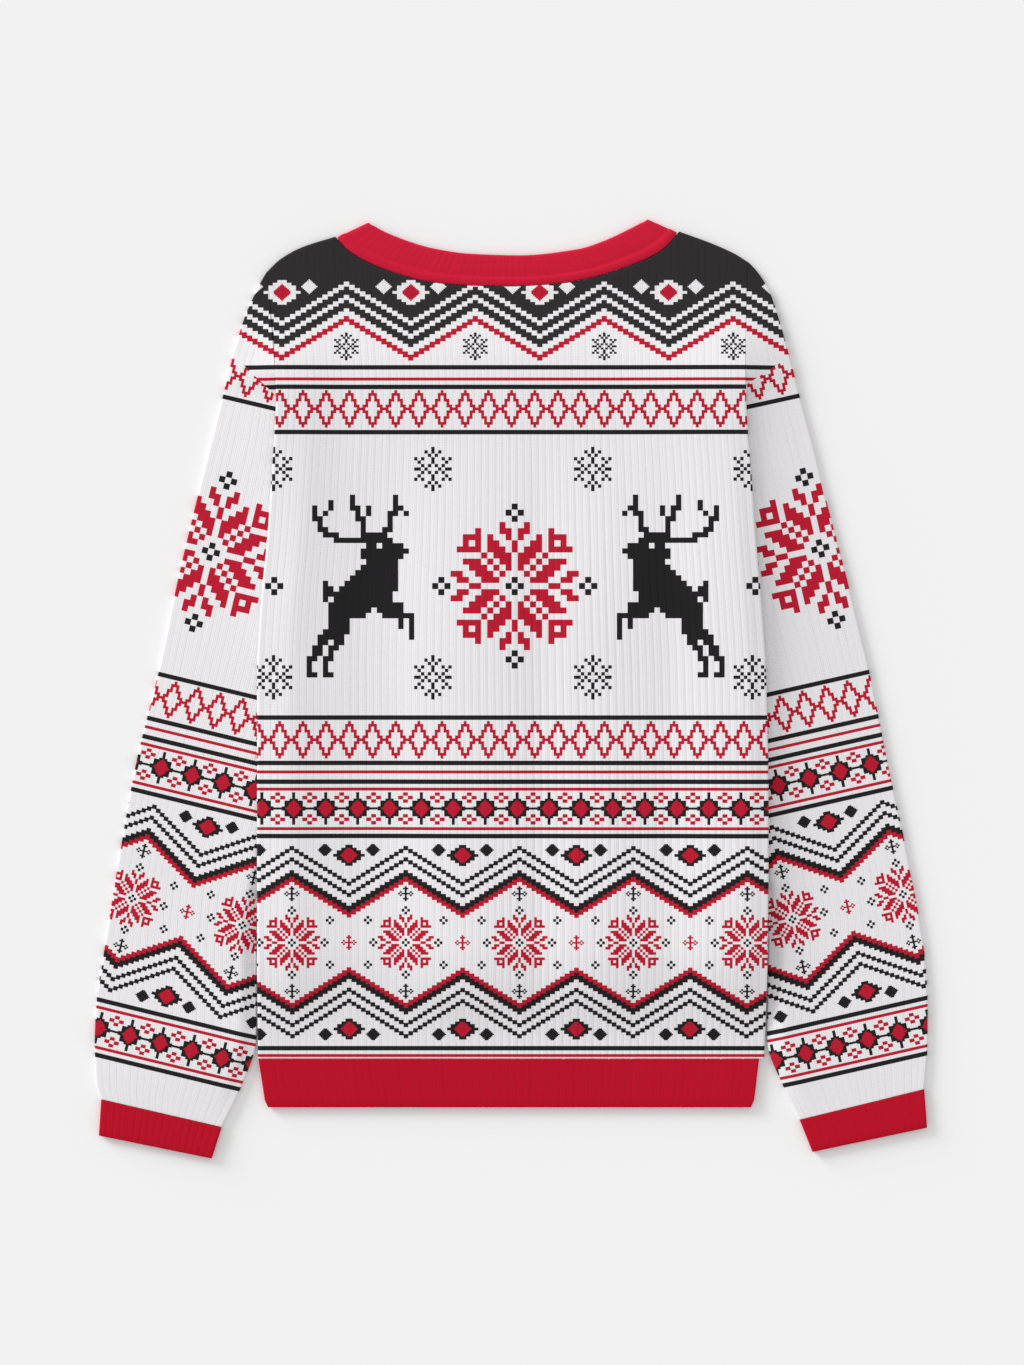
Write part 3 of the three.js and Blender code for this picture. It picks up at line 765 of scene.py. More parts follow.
def sleeve(side, materials):
    sign = SIGN[side]
    cuff = CUFFS[side]
    rim = sleeve_rim(side)
    ends = rim(np.array([0.0, 1.0]))
    puffed = sleeve_crown(side)

    def crown(x, y):
        return puffed(x, y) + cap_rise(side, x, y)

    table = np.array(SLEEVE_ROWS)
    steps = np.linspace(0, len(table) - 1, (len(table) - 1) * SLEEVE_FINE + 1)
    steps = np.insert(steps, len(steps) - 1, steps[-1] - np.array(END_STEPS))
    steps = np.insert(steps, 1, np.array(END_STEPS[::-1]))
    sections = []
    for step in steps:
        outer, inner, crowd = [np.interp(step, np.arange(len(table)), table[:, k]) for k in range(3)]
        last = step == steps[-1]
        outer_y = lerp(SLEEVE_TOP_Y[side], cuff["outer"][1], outer)
        inner_y = lerp(UNDERARM_Y, cuff["inner"][1], inner)
        outer_x = abs(ends[0, 0]) if step == 0 else sleeve_outer[side](outer_y)
        start = (sign * (cuff["outer"][0] if last else outer_x), outer_y)
        end = (sign * (cuff["inner"][0] if last else sleeve_inner[side](inner_y)), inner_y)
        fade = max(0.0, 1 - outer / RIM_FADE) ** 2

        def bend(share):
            return fade * (rim(share) - lerp(ends[0], ends[1], share[:, None]))

        sections.append(
            flat_section(
                start,
                end,
                WALL,
                RIBS["sleeve"],
                RIB_SHARE["sleeve"],
                crowd=crowd,
                crown=crown,
                bend=bend if fade else None,
            )
        )
    return tube(f"{side}_sleeve_cloth", sections, materials, side)


BAND_FINE = 8
# The first row past each band's seam and the last rows before its end
CUFF_NEAR_SEAM = 0.03
CUFF_NEAR_END = (0.93, 0.97)
HEM_NEAR_SEAM = 0.5
HEM_NEAR_END = (-310.6, -312.4)


def cuff_band(side, materials):
    sign = SIGN[side]
    cuff = CUFFS[side]
    fine = np.linspace(CUFF_NEAR_SEAM, CUFF_SPAN[1], BAND_FINE)
    along = np.concatenate([[CUFF_SPAN[0]], fine, [*CUFF_NEAR_END, CUFF_SPAN[2]]])
    depth = RIB_SHARE[f"{side}_cuff"]
    sections = []
    for share in along:
        start = lerp(np.array(cuff["outer"]), np.array(cuff["outer_end"]), share) * (sign, 1)
        end = lerp(np.array(cuff["inner"]), np.array(cuff["inner_end"]), share) * (sign, 1)
        pinch = CUFF_PINCH * max(0.0, (share - CUFF_SPAN[1]) / (1 - CUFF_SPAN[1])) ** 2
        sections.append(flat_section(start, end, BAND_WALL, RIBS["cuff"], depth, pinch=pinch))
    return tube(f"{side}_cuff_cloth", sections, materials, side)


def hem_band(materials):
    rows = np.array(HEM_ROWS)
    fine = np.linspace(rows[0, 0] - HEM_NEAR_SEAM, rows[1, 0], BAND_FINE)
    y_list = np.concatenate([[rows[0, 0]], fine, [*HEM_NEAR_END, rows[2, 0]]])
    sections = []
    for y in y_list:
        left, right = [np.interp(-y, -rows[:, 0], rows[:, k]) for k in (1, 2)]
        pinch = rows[2, 3] * max(0.0, (rows[1, 0] - y) / (rows[1, 0] - rows[2, 0])) ** 2
        ribs = RIBS["neck"] + 2 * RIBS["shoulder"]
        sections.append(flat_section((left, y), (right, y), BAND_WALL, ribs, RIB_SHARE["hem"], pinch=pinch))
    return tube("hem_cloth", sections, materials)


# Neck band
NECK_FINE = 4
NECK_RIBS = 0.8


def neck_ring(seam, edge, out, thick, rib_number, rib_rise):
    across = edge - seam
    start = seam + across * (1.2 * GAP / np.linalg.norm(across))
    ring = []
    for share, height, rib in NECK_SECTION:
        point = lerp(start, edge, share) + out * (height * thick + rib * rib_rise)
        ring.append([*point, rib_number, share * np.linalg.norm(across) / RIB_PITCH])
    return ring


def neck_band(materials):
    rings = []
    up = np.array([0.0, 0.0, 1.0])
    fold_z = (NECK_BACK_Z + NECK_FRONT_Z) / 2
    fold_radius = (NECK_BACK_Z - NECK_FRONT_Z) / 2

    def back_point(share, z):
        x = lerp(NECK_LEFT[0] + NECK_FOLD_INSET, NECK_RIGHT[0] - NECK_FOLD_INSET, share)
        edge_x = lerp(EDGE_LEFT[0] + NECK_FOLD_INSET, EDGE_RIGHT[0] - NECK_FOLD_INSET, share)
        to_tip = min(share, 1 - share) * (EDGE_RIGHT[0] - EDGE_LEFT[0])
        rounding = NECK_TIP["depth"] * max(0.0, 1 - to_tip / NECK_TIP["reach"]) ** 2
        return np.array([x, neck_seam(x), z]), np.array([edge_x, neck_edge(edge_x) - rounding, z])

    def fold(share, from_angle, to_angle, number):
        seam, edge = back_point(share, fold_z)
        along = (edge - seam) / np.linalg.norm(edge - seam)
        away = np.array([-along[1], along[0], 0.0])
        away *= np.sign(away[1])
        for i in range(1, NECK_FOLD_STEPS):
            angle = lerp(from_angle, to_angle, i / NECK_FOLD_STEPS)
            out = up * math.cos(angle) + away * math.sin(angle)
            thick = lerp(BAND_WALL, WALL, (1 - math.cos(angle)) / 2)
            shift = out * fold_radius
            rings.append(neck_ring(seam + shift, edge + shift, out, thick, number, 0.0))

    spans = NECK_FINE * RIBS["neck"]
    for i in range(spans + 1):
        seam, edge = back_point(i / spans, NECK_BACK_Z)
        number = i / NECK_FINE
        rings.append(neck_ring(seam, edge, up, BAND_WALL, number, NECK_RIBS * rib_form(number)))
    fold(1, 0, math.pi, RIBS["neck"])
    front_shares = np.linspace(1, 0, 2 * PLAIN["neck"] + 1)
    for share in front_shares:
        if share in (0, 1):
            seam, edge = back_point(share, 0)
        else:
            width = ARMHOLE_RIGHT[0] - ARMHOLE_LEFT[0]
            place = (lerp(NECK_LEFT[0], NECK_RIGHT[0], share) - ARMHOLE_LEFT[0]) / width
            seam = np.array([*top_point(place, front_top), 0.0])
            edge = np.array([*front_neck(share, EDGE_LEFT, EDGE_RIGHT, FRONT_EDGE_DROP), 0.0])
        seam[2] = NECK_FRONT_Z
        edge[2] = NECK_FRONT_Z
        rings.append(neck_ring(seam, edge, -up, WALL * 0.9, share * RIBS["neck"], 0.0))
    fold(0, math.pi, 0, 0)
    ring_array = np.array(rings)
    points = with_maps(ring_array[..., 0], ring_array[..., 1], ring_array[..., 2], ring_array[..., 3])
    points[..., 4] = ring_array[..., 4]
    skin = Skin()
    skin.grid(skin.add(points), ring=True, loop=True)
    return skin.object("neck_cloth", materials)


# Shader maths
class Value:
    """A number in a shader. Its arithmetic and comparisons add Math nodes to the tree."""

    def __init__(self, tree, socket):
        self.tree = tree
        self.socket = socket

    def maths(self, operation, *others):
        node = self.tree.nodes.new("ShaderNodeMath")
        node.operation = operation
        for place, value in enumerate((self, *others)):
            if isinstance(value, Value):
                self.tree.links.new(value.socket, node.inputs[place])
            else:
                node.inputs[place].default_value = value
        return Value(self.tree, node.outputs[0])

    def __add__(self, other):
        return self.maths("ADD", other)

    def __sub__(self, other):
        return self.maths("SUBTRACT", other)

    def __mul__(self, other):
        return self.maths("MULTIPLY", other)

    def __truediv__(self, other):
        return self.maths("DIVIDE", other)

    def __pow__(self, other):
        return self.maths("POWER", other)

    def __lt__(self, other):
        return self.maths("LESS_THAN", other)

    def __gt__(self, other):
        return self.maths("GREATER_THAN", other)

    def __abs__(self):
        return self.maths("ABSOLUTE")

    def __or__(self, other):
        return self.maths("MAXIMUM", other)

    def without(self, other):
        """This where the other is 0."""
        return self.maths("MULTIPLY", other.maths("MULTIPLY_ADD", -1.0, 1.0))

    def near(self, place, reach):
        """1 where this lies within reach of place."""
        return self.maths("COMPARE", place, reach)

    def cell(self, size):
        """The number of the cell that this lies in, with cell 0 centred on 0."""
        return (self * (1 / size) + 0.5).maths("FLOOR")

    def fold(self, centre, period):
        """The distance to the nearest of the places that repeat from centre."""
        return (self - centre).maths("PINGPONG", period / 2)


def ramp(value, stops):
    """Looks a value up in colours, each as a place from 0 to 1 and a tuple of three numbers."""
    node = value.tree.nodes.new("ShaderNodeValToRGB")
    value.tree.links.new(value.socket, node.inputs[0])
    band = node.color_ramp
    band.interpolation = "CONSTANT"
    for _ in range(len(stops) - len(band.elements)):
        band.elements.new(0.5)
    for element, (place, colour) in zip(band.elements, stops):
        element.position = place
        element.color = (*colour, 1.0)
    return node.outputs[0]


BITS = 10
CHART_EDGE = 0.4


def chart(i, j, rows):
    """1 where the chart has a stitch in column i of row j, both counted from its first corner."""
    width = max(len(row) for row in rows)
    stops = []
    for number, row in enumerate(rows):
        code = sum(2**k for k, stitch in enumerate(row) if stitch != ".")
        colour = tuple((code >> (BITS * k)) % 2**BITS / 2**BITS for k in range(3))
        if not stops or stops[-1][1] != colour:
            stops.append((number / len(rows), colour))
    place = (j + 0.5) * (1 / len(rows))
    looked_up = ramp(place, stops)
    split = i.tree.nodes.new("ShaderNodeSeparateColor")
    i.tree.links.new(looked_up, split.inputs[0])
    code = Value(i.tree, split.outputs[0]) * 2**BITS
    if width > BITS:
        code = code + Value(i.tree, split.outputs[1]) * 2 ** (2 * BITS)
    scale = i.maths("MULTIPLY", -1.0)
    power = i.tree.nodes.new("ShaderNodeMath")
    power.operation = "POWER"
    power.inputs[0].default_value = 2.0
    i.tree.links.new(scale.socket, power.inputs[1])
    shifted = (code + 0.25) * Value(i.tree, power.outputs[0])
    bit = shifted.maths("FLOOR").maths("MODULO", 2.0)
    in_rows = j.near((len(rows) - 1) / 2, len(rows) / 2 - CHART_EDGE)
    in_columns = i.near((width - 1) / 2, width / 2 - CHART_EDGE)
    return bit * in_rows * in_columns


# Charts of the knit figures. Those that are mirrored both ways start at their centre stitch.
SNOWFLAKE = [
    "..#.##",
    ".#.#..",
    "#...#.",
    "#..#.#",
    ".#....",
    "#.#...",
    "#.....",
]
ROSE = [
    "......##...",
    "...###..##.",
    "..#.###..##",
    ".#.#.###...",
    ".##.#.###..",
    ".###.#.....",
    "#.###.####.",
    "#..##.#.#..",
    ".#..#.###..",
    ".##...#....",
    "..#........",
]
LATTICE = [
    "...##",
    "..##.",
    "..#..",
    ".##..",
    ".#...",
    "##...",
    "#....",
]
MEDALLION = [
    "####",
    "###.",
    "###.",
    "##..",
    "#...",
]
FLEUR = [
    "###.#",
    "#..#.",
    "#....",
    "##...",
    "#....",
]
# A leaping reindeer that faces right, from its hooves up
REINDEER = [
    "##.##...............",
    "#..#................",
    "#..#................",
    "##.##...............",
    ".##.#...............",
    ".##.##..............",
    "..##.##.............",
    "..#####............#",
    "...#####...........#",
    "....####.........#.#",
    "....####.........#.#",
    "....#######...######",
    "....########.#####..",
    "....##############..",
    "...#.###########....",
    "...#############....",
    "...##.###########...",
    "...#...##########...",
    "........#########...",
    ".........########...",
    "..........#######...",
    "...........######...",
    "..........########..",
    "..........#########.",
    "...........##.####..",
    ".....###########....",
    "...###....#####.....",
    "..##......#...##....",
    "..#.......#....#....",
    ".##......##....#....",
    ".#.#.....#.#...##.#.",
    ".#..#...##.#....##..",
    "....#...#.......#...",
    "........#.......#...",
]

# Where the print's bands lie on the body, as heights in the garment's frame
YOKE = {"period": 96.5, "peak_x": -123.6, "step": 2.44, "steps": 12}
YOKE_WHITES = (303.1, 293.1)
YOKE_BLACK_EDGE = 284.8
YOKE_RED = 276.9
YOKE_LINE = 3.7
YOKE_RED_LINE = 4.6
YOKE_MEDALLION_Y = 296.9
YOKE_DIAMOND = (20.4, 301.2)
YOKE_SNOW_Y = 256.1
YOKE_SNOW = (1.65, 1.62)
YOKE_SNOW_SPREAD = 0.2
BLACK_LINES = (240.3, 225.6, 191.8, -21.5, -55.4)
BLACK_LINE = 3.4
RED_LINES = (231.5, -62.1)
RED_LINE = 2.3
LATTICE_ROWS = (209.2, -38.1)
LATTICE_PERIOD = 17.32
LATTICE_X = -173.1
BEADS = {"period": 23.84, "x": -186.5}
FIELD_X = 2.4
FIELD_Y = 76.7
ROSE_CELL = 4.56
FIELD_DIAMOND = 54.8
FIELD_SIDE_DIAMOND = 179.6
DEER_MIDDLE_X = 3.0
DEER_X = 115.8
DEER_LOW_Y = 8.4
DEER_CELL = 4.02
SNOW_MIDDLE_X = 1.0
SNOW_X = (59.7, 178.7)
SNOW_CENTRE_Y = 86.4
SNOW_OFF = 77.8
SNOW_CELL = 2.56
STAR_BAND_Y = -189.6
STAR_BAND_STRETCH = 1.004
STAR_BAND = {"period": 84.98, "peak_x": -79.0, "step": 2.21, "steps": 12}
STAR_LINES = (70.3, 61.9)
STAR_LINE = 3.3
STAR_BLACK = (48.9, 54.0)
STAR_RED = (45.0, 48.9)
STAR_CELL = 2.0
FLEUR_CELL = 1.25
FLEUR_SPREAD = 0.17
SMALL_CELL = 2.08
STAR_FOURS = {"above": 24.0, "beside": 24.3, "corner": (28.3, 16.6)}
FLEUR_OFF = 36.4
STAR_HEART_OFF = 64.9
STAR_LOZENGE_AT = (17.9, 68.9)
# Stepped diamonds: the sizes of their steps and how far they reach, across and up
YOKE_HEART = ((1.15, 1.0), (6.9, 6.3))
YOKE_LOZENGE = ((1.1, 1.0), (5.9, 5.3))
BEAD_HEART = ((1.1, 1.0), (6.0, 7.0))
STAR_HEART = ((1.0, 1.0), (6.6, 5.9))
STAR_LOZENGE = ((1.0, 1.0), (5.4, 5.0))
MEDALLION_CELL = (3.45, 2.05)
# Boxes on one centre that make a stepped shape, each with its reach across and up
BEAD_FRAME = ((6.85, 5.9), (3.15, 7.35), (1.15, 12.1), (8.9, 1.6))
STAR_RING = ((11.8, 1.1), (9.1, 3.8), (5.8, 5.7), (2.8, 7.9))
BEAD_THREAD = 0.85
BEAD_CROSS = {"off": 8.1, "side": (3.65, 1.9), "side_up": 1.35, "end_across": 1.85, "end": (2.6, 1.3)}
# Distances from the middle of that band to the lines and the beads above and below it
EDGE_BLACKS = (79.3, 119.7)
EDGE_REDS = (84.8, 114.2)
BEADS_OFF = 99.8

WHITE = (0.785, 0.77, 0.785)
BLACK = (0.013, 0.012, 0.013)
# The wide black cloth of the yoke shows more of the ground yarn
YOKE_BLACK = (0.025, 0.023, 0.024)
RED = (0.47, 0.008, 0.028)


def band(value, low, high):
    return value.near((low + high) / 2, (high - low) / 2)


def ring_of_four(x, y, cell):
    """Four stitches round an empty one."""
    i = x.cell(cell)
    j = y.cell(cell)
    return (i + j).near(1, 0.1)


def lozenge(x, y, steps, reach):
    """A stepped diamond, from distances to its centre."""
    across = x.cell(steps[0]) * (steps[0] / reach[0])
    return across + y.cell(steps[1]) * (steps[1] / reach[1]) < 1.0


def boxes(x, y, reaches):
    """Boxes on one centre, from distances to it."""
    shape = (x < reaches[0][0]) * (y < reaches[0][1])
    for across, up in reaches[1:]:
        shape = shape | (x < across) * (y < up)
    return shape


def bold_fleur(x, y):
    row = y.cell(FLEUR_CELL)
    one = chart((x - FLEUR_SPREAD).cell(FLEUR_CELL), row, FLEUR)
    return one | chart((x + FLEUR_SPREAD).cell(FLEUR_CELL), row, FLEUR)


def stairs(x, band_facts):
    """How far a zigzag has stepped down from its peak, in whole steps."""
    half = band_facts["period"] / 2
    return x.fold(band_facts["peak_x"], band_facts["period"]).cell(half / band_facts["steps"])


def print_masks(x, y, on_body):
    """The black and the red stitches of the print at a place on it."""
    # Yoke
    slope_of_yoke = y + stairs(x, YOKE) * YOKE["step"]
    slope = slope_of_yoke
    valley = x.fold(YOKE["peak_x"] + YOKE["period"] / 2, YOKE["period"])
    height = abs(y - YOKE_MEDALLION_Y)
    ring_column = (valley / MEDALLION_CELL[0]).maths("FLOOR")
    ring = chart(ring_column, height.cell(MEDALLION_CELL[1]), MEDALLION)
    heart = lozenge(valley, height, *YOKE_HEART)
    whites = slope.near(YOKE_WHITES[0], YOKE_LINE / 2) | slope.near(YOKE_WHITES[1], YOKE_LINE / 2)
    diamond = lozenge(abs(valley - YOKE_DIAMOND[0]), abs(y - YOKE_DIAMOND[1]), *YOKE_LOZENGE)
    whites = whites | ring | diamond
    black = (slope > YOKE_BLACK_EDGE).without(whites)
    red = slope.near(YOKE_RED, YOKE_RED_LINE / 2) | heart
    peak = x.fold(YOKE["peak_x"], YOKE["period"])
    row = abs(y - YOKE_SNOW_Y).cell(YOKE_SNOW[1])
    for spread in (-YOKE_SNOW_SPREAD, YOKE_SNOW_SPREAD):
        black = black | chart((peak + spread).cell(YOKE_SNOW[0]), row, SNOWFLAKE)

    # Lines
    for place in BLACK_LINES:
        black = black | y.near(place, BLACK_LINE / 2)
    for place in RED_LINES:
        red = red | y.near(place, RED_LINE / 2)

    # Lattices
    gap = LATTICE_ROWS[0] - LATTICE_ROWS[1]
    rows = abs(abs(y - sum(LATTICE_ROWS) / 2) - gap / 2).cell(LATTICE_PERIOD / 8)
    red = red | chart(x.fold(LATTICE_X, LATTICE_PERIOD).cell(LATTICE_PERIOD / 8), rows, LATTICE)

    # Beads
    band_off = abs(y - STAR_BAND_Y) / STAR_BAND_STRETCH
    off = abs(band_off - BEADS_OFF)
    bead_x = x.fold(BEADS["x"], BEADS["period"])
    frame_of_bead = boxes(bead_x, off, BEAD_FRAME) | (off < BEAD_THREAD)
    heart = lozenge(bead_x, off, *BEAD_HEART)
    black = black | frame_of_bead.without(heart)
    cross_x = x.fold(BEADS["x"] + BEADS["period"] / 2, BEADS["period"])
    cross_y = abs(off - BEAD_CROSS["off"])
    sides = cross_x.near(*BEAD_CROSS["side"]) * (cross_y < BEAD_CROSS["side_up"])
    ends = (cross_x < BEAD_CROSS["end_across"]) * cross_y.near(*BEAD_CROSS["end"])
    red = red | heart | sides | ends

    # Field
    in_field = band(y, BLACK_LINES[3], BLACK_LINES[2])
    from_middle = abs(x - FIELD_X)
    from_row = abs(y - FIELD_Y)
    red = red | chart(from_middle.cell(ROSE_CELL), from_row.cell(ROSE_CELL), ROSE) * in_field
    four = ring_of_four(from_middle, from_row, ROSE_CELL)
    four = four | ring_of_four(abs(from_middle - FIELD_DIAMOND), from_row, ROSE_CELL)
    four = four | ring_of_four(from_middle, abs(from_row - FIELD_DIAMOND), ROSE_CELL)
    four = four | ring_of_four(abs(from_middle - FIELD_SIDE_DIAMOND), from_row, ROSE_CELL)
    deer_width = len(REINDEER[0])
    i = (abs(x - DEER_MIDDLE_X) * -1.0 + DEER_X) / DEER_CELL + deer_width / 2
    j = (y - DEER_LOW_Y) / DEER_CELL
    deer = chart(i.maths("FLOOR"), j.maths("FLOOR"), REINDEER)
    snow_x = abs(abs(x - SNOW_MIDDLE_X) - sum(SNOW_X) / 2) - (SNOW_X[1] - SNOW_X[0]) / 2
    snow_y = abs(y - SNOW_CENTRE_Y) - SNOW_OFF
    snow = chart(abs(snow_x).cell(SNOW_CELL), abs(snow_y).cell(SNOW_CELL), SNOWFLAKE)
    black = black | (four | (deer | snow) * on_body) * in_field

    # Band of small stars between two zigzags, the same above and below its middle
    off = band_off
    step = stairs(x, STAR_BAND)
    slope = off + step * STAR_BAND["step"]
    in_band = off < EDGE_BLACKS[0]
    zigzag = slope.near(STAR_LINES[0], STAR_LINE / 2) | slope.near(STAR_LINES[1], STAR_LINE / 2)
    zigzag = zigzag | band(slope, *STAR_BLACK)
    valley = x.fold(STAR_BAND["peak_x"] + STAR_BAND["period"] / 2, STAR_BAND["period"])
    from_heart = abs(off - STAR_HEART_OFF)
    ring = boxes(valley, from_heart, STAR_RING)
    heart = lozenge(valley, from_heart, *STAR_HEART)
    diamond = lozenge(abs(valley - STAR_LOZENGE_AT[0]), abs(off - STAR_LOZENGE_AT[1]), *STAR_LOZENGE)
    peak = x.fold(STAR_BAND["peak_x"], STAR_BAND["period"])
    four = ring_of_four(peak, off, STAR_CELL)
    four = four | ring_of_four(peak, abs(off - STAR_FOURS["above"]), SMALL_CELL)
    four = four | ring_of_four(abs(peak - STAR_FOURS["beside"]), off, SMALL_CELL)
    corner_x, corner_y = STAR_FOURS["corner"]
    four = four | ring_of_four(abs(peak - corner_x), abs(off - corner_y), SMALL_CELL)
    fleur = bold_fleur(peak, abs(off - FLEUR_OFF))
    dark = (zigzag | ring | diamond | four | fleur).without(heart)
    bright = band(slope, *STAR_RED) | heart | chart(peak.cell(STAR_CELL), off.cell(STAR_CELL), ROSE)
    bright = bright | bold_fleur(valley, off)
    black = black | dark * in_band
    red = red | bright * in_band
    for place in EDGE_BLACKS:
        black = black | off.near(place, BLACK_LINE / 2)
    for place in EDGE_REDS:
        red = red | off.near(place, RED_LINE / 2)
    return black, red, slope_of_yoke > YOKE_BLACK_EDGE


def new_material(name):
    material = bpy.data.materials.new(name)
    material.use_nodes = True
    material.node_tree.nodes.clear()
    return material, material.node_tree


def map_values(tree, name):
    node = tree.nodes.new("ShaderNodeUVMap")
    node.uv_map = name
    split = tree.nodes.new("ShaderNodeSeparateXYZ")
    tree.links.new(node.outputs[0], split.inputs[0])
    return Value(tree, split.outputs[0]), Value(tree, split.outputs[1])


def mixed(tree, factor, one, other):
    """Mixes two colours, each a tuple or a socket."""
    node = tree.nodes.new("ShaderNodeMix")
    node.data_type = "RGBA"
    if isinstance(factor, Value):
        tree.links.new(factor.socket, node.inputs[0])
    else:
        node.inputs[0].default_value = factor
    for place, colour in ((6, one), (7, other)):
        if isinstance(colour, tuple):
            node.inputs[place].default_value = (*colour, 1.0)
        else:
            tree.links.new(colour, node.inputs[place])
    return node.outputs[2]


def scaled(tree, colour, factor):
    node = tree.nodes.new("ShaderNodeVectorMath")
    node.operation = "SCALE"
    tree.links.new(colour, node.inputs[0])
    tree.links.new(factor.socket, node.inputs["Scale"])
    return node.outputs[0]


def noise(tree, scale, detail=2.0):
    """A soft noise over the object, from 0 to 1."""
    place = tree.nodes.new("ShaderNodeTexCoord")
    node = tree.nodes.new("ShaderNodeTexNoise")
    node.inputs["Scale"].default_value = scale
    node.inputs["Detail"].default_value = detail
    tree.links.new(place.outputs["Object"], node.inputs["Vector"])
    return Value(tree, node.outputs[0])


STITCHES = {"wales": 4, "course": 1.9, "slant": 1.1, "share": 0.35}
WALE = {"fall": 1.6, "share": 0.65}
HOLLOWS = {"half_width": 0.09, "noise": 35.0, "depth": 1.2}
# Painted shade: thin dark lines between some wales. The keys give where they start across a wale, a turn
# for their random choice, and how dark they are.
WALE_SHADE_LINES = {"from": 0.36, "turn": 0.37, "tone": 0.14}


def knit_height(tree):
    """The knit's relief and a mask of painted shade: wales with small V stitches, and dots along each
    groove that dent the relief and are painted darker, with painted dark lines between some wales.
    """
    rib, along = map_values(tree, "Knit")
    wale = (rib * STITCHES["wales"]).maths("FRACT") - 0.5
    course = along * (RIB_PITCH / STITCHES["course"])
    slant = abs(wale) * STITCHES["slant"]
    stitch = ((course + slant) * (2 * math.pi)).maths("SINE") * 0.5 + 0.5
    body = abs(wale).maths("MULTIPLY_ADD", -WALE["fall"], 1.0)
    groove = (rib + 0.5).maths("FRACT") - 0.5
    dots = (course * math.pi).maths("SINE") ** 2.0
    in_groove = abs(groove) < HOLLOWS["half_width"]
    shaded_hollow = in_groove * dots * noise(tree, HOLLOWS["noise"]) * dealt((rib + 0.5).maths("FLOOR"))
    wale_number = (rib * STITCHES["wales"] + 0.5).maths("FLOOR")
    # Painted shade along the edges of randomly chosen wales
    line = (abs(wale) > WALE_SHADE_LINES["from"]) * dealt(wale_number + WALE_SHADE_LINES["turn"])
    relief = stitch * STITCHES["share"] + body * WALE["share"] - shaded_hollow * HOLLOWS["depth"]
    return relief, shaded_hollow + line * WALE_SHADE_LINES["tone"]


def dealt(number):
    """A fixed random share from 0 to 1 for each whole number."""
    node = number.tree.nodes.new("ShaderNodeTexWhiteNoise")
    node.noise_dimensions = "1D"
    number.tree.links.new(number.socket, node.inputs["W"])
    return Value(number.tree, node.outputs["Value"])


def finish_knit(tree, colour, roughness, relief, sheen, tint):
    shader = tree.nodes.new("ShaderNodeBsdfPrincipled")
    output = tree.nodes.new("ShaderNodeOutputMaterial")
    bump = tree.nodes.new("ShaderNodeBump")
    bump.inputs["Strength"].default_value = 0.6
    bump.inputs["Distance"].default_value = 0.00022
    tree.links.new(relief.socket, bump.inputs["Height"])
    tree.links.new(colour, shader.inputs["Base Color"])
    tree.links.new(bump.outputs[0], shader.inputs["Normal"])
    shader.inputs["Roughness"].default_value = roughness
    shader.inputs["Sheen Weight"].default_value = sheen
    shader.inputs["Sheen Roughness"].default_value = 0.6
    shader.inputs["Sheen Tint"].default_value = (*tint, 1.0)
    shader.inputs["Specular IOR Level"].default_value = 0.1
    tree.links.new(shader.outputs[0], output.inputs[0])


# The line over each sleeve cap where the level print gives way to the turned one: x, y, slope
CAP_LINES = {"left": (-190.5, 232.7, -0.95), "right": (189.0, 236.1, 0.65)}


def print_material():
    material, tree = new_material("knit_print")
    print_x, print_y = map_values(tree, "Print")
    print_x = print_x / MM
    print_y = print_y / MM
    place = tree.nodes.new("ShaderNodeTexCoord")
    split = tree.nodes.new("ShaderNodeSeparateXYZ")
    tree.links.new(place.outputs["Object"], split.inputs[0])
    x = Value(tree, split.outputs[0]) / MM - float(SHIFT[0])
    y = Value(tree, split.outputs[1]) / MM - float(SHIFT[1])
    on_body = abs(print_x - x) < 1.0
    on_right = x > 0.0
    left_x, left_y, left_slope = CAP_LINES["left"]
    right_x, right_y, right_slope = CAP_LINES["right"]
    over_left = (x - left_x) * left_slope + left_y
    over_right = (x - right_x) * right_slope + right_y
    limit = over_left + (over_right - over_left) * on_right
    on_cap = (y - limit) > 0.0
    x = print_x + (x - print_x) * on_cap
    y = print_y + (y - print_y) * on_cap
    black, red, in_yoke = print_masks(x, y, on_body)
    relief, shaded_hollow = knit_height(tree)
    tone = noise(tree, 9.0) * 0.05 + noise(tree, 700.0) * 0.07 + 0.94
    # The groove dots and the lines between wales are darkened in the colour: painted shade in the knit's
    # recesses.
    tone = tone - shaded_hollow * 0.18
    dark = mixed(tree, in_yoke, BLACK, YOKE_BLACK)
    colour = mixed(tree, red, mixed(tree, black, WHITE, dark), RED)
    finish_knit(tree, scaled(tree, colour, tone), 0.92, relief, 0.04, (1.0, 1.0, 1.0))
    return material


def plain_knit(name, colour, tint=(1.0, 1.0, 1.0)):
    material, tree = new_material(name)
    relief, shaded_hollow = knit_height(tree)
    tone = noise(tree, 9.0) * 0.08 + noise(tree, 700.0) * 0.10 + 0.91
    # The groove dots and the lines between wales are darkened in the colour: painted shade in the knit's
    # recesses.
    tone = tone - shaded_hollow * 0.18
    base = tree.nodes.new("ShaderNodeRGB")
    base.outputs[0].default_value = (*colour, 1.0)
    finish_knit(tree, scaled(tree, base.outputs[0], tone), 0.92, relief, 0.05, tint)
    return material


def declare(piece, node):
    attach(piece, "root")
    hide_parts(node)


printed = print_material()
inside = plain_knit("knit_inside", (0.70, 0.68, 0.69))
RED_SHEEN = (0.9, 0.12, 0.2)
collar_red = plain_knit("rib_red_neck", (0.58, 0.011, 0.038), RED_SHEEN)
band_red = plain_knit("rib_red_band", (0.47, 0.004, 0.018), RED_SHEEN)

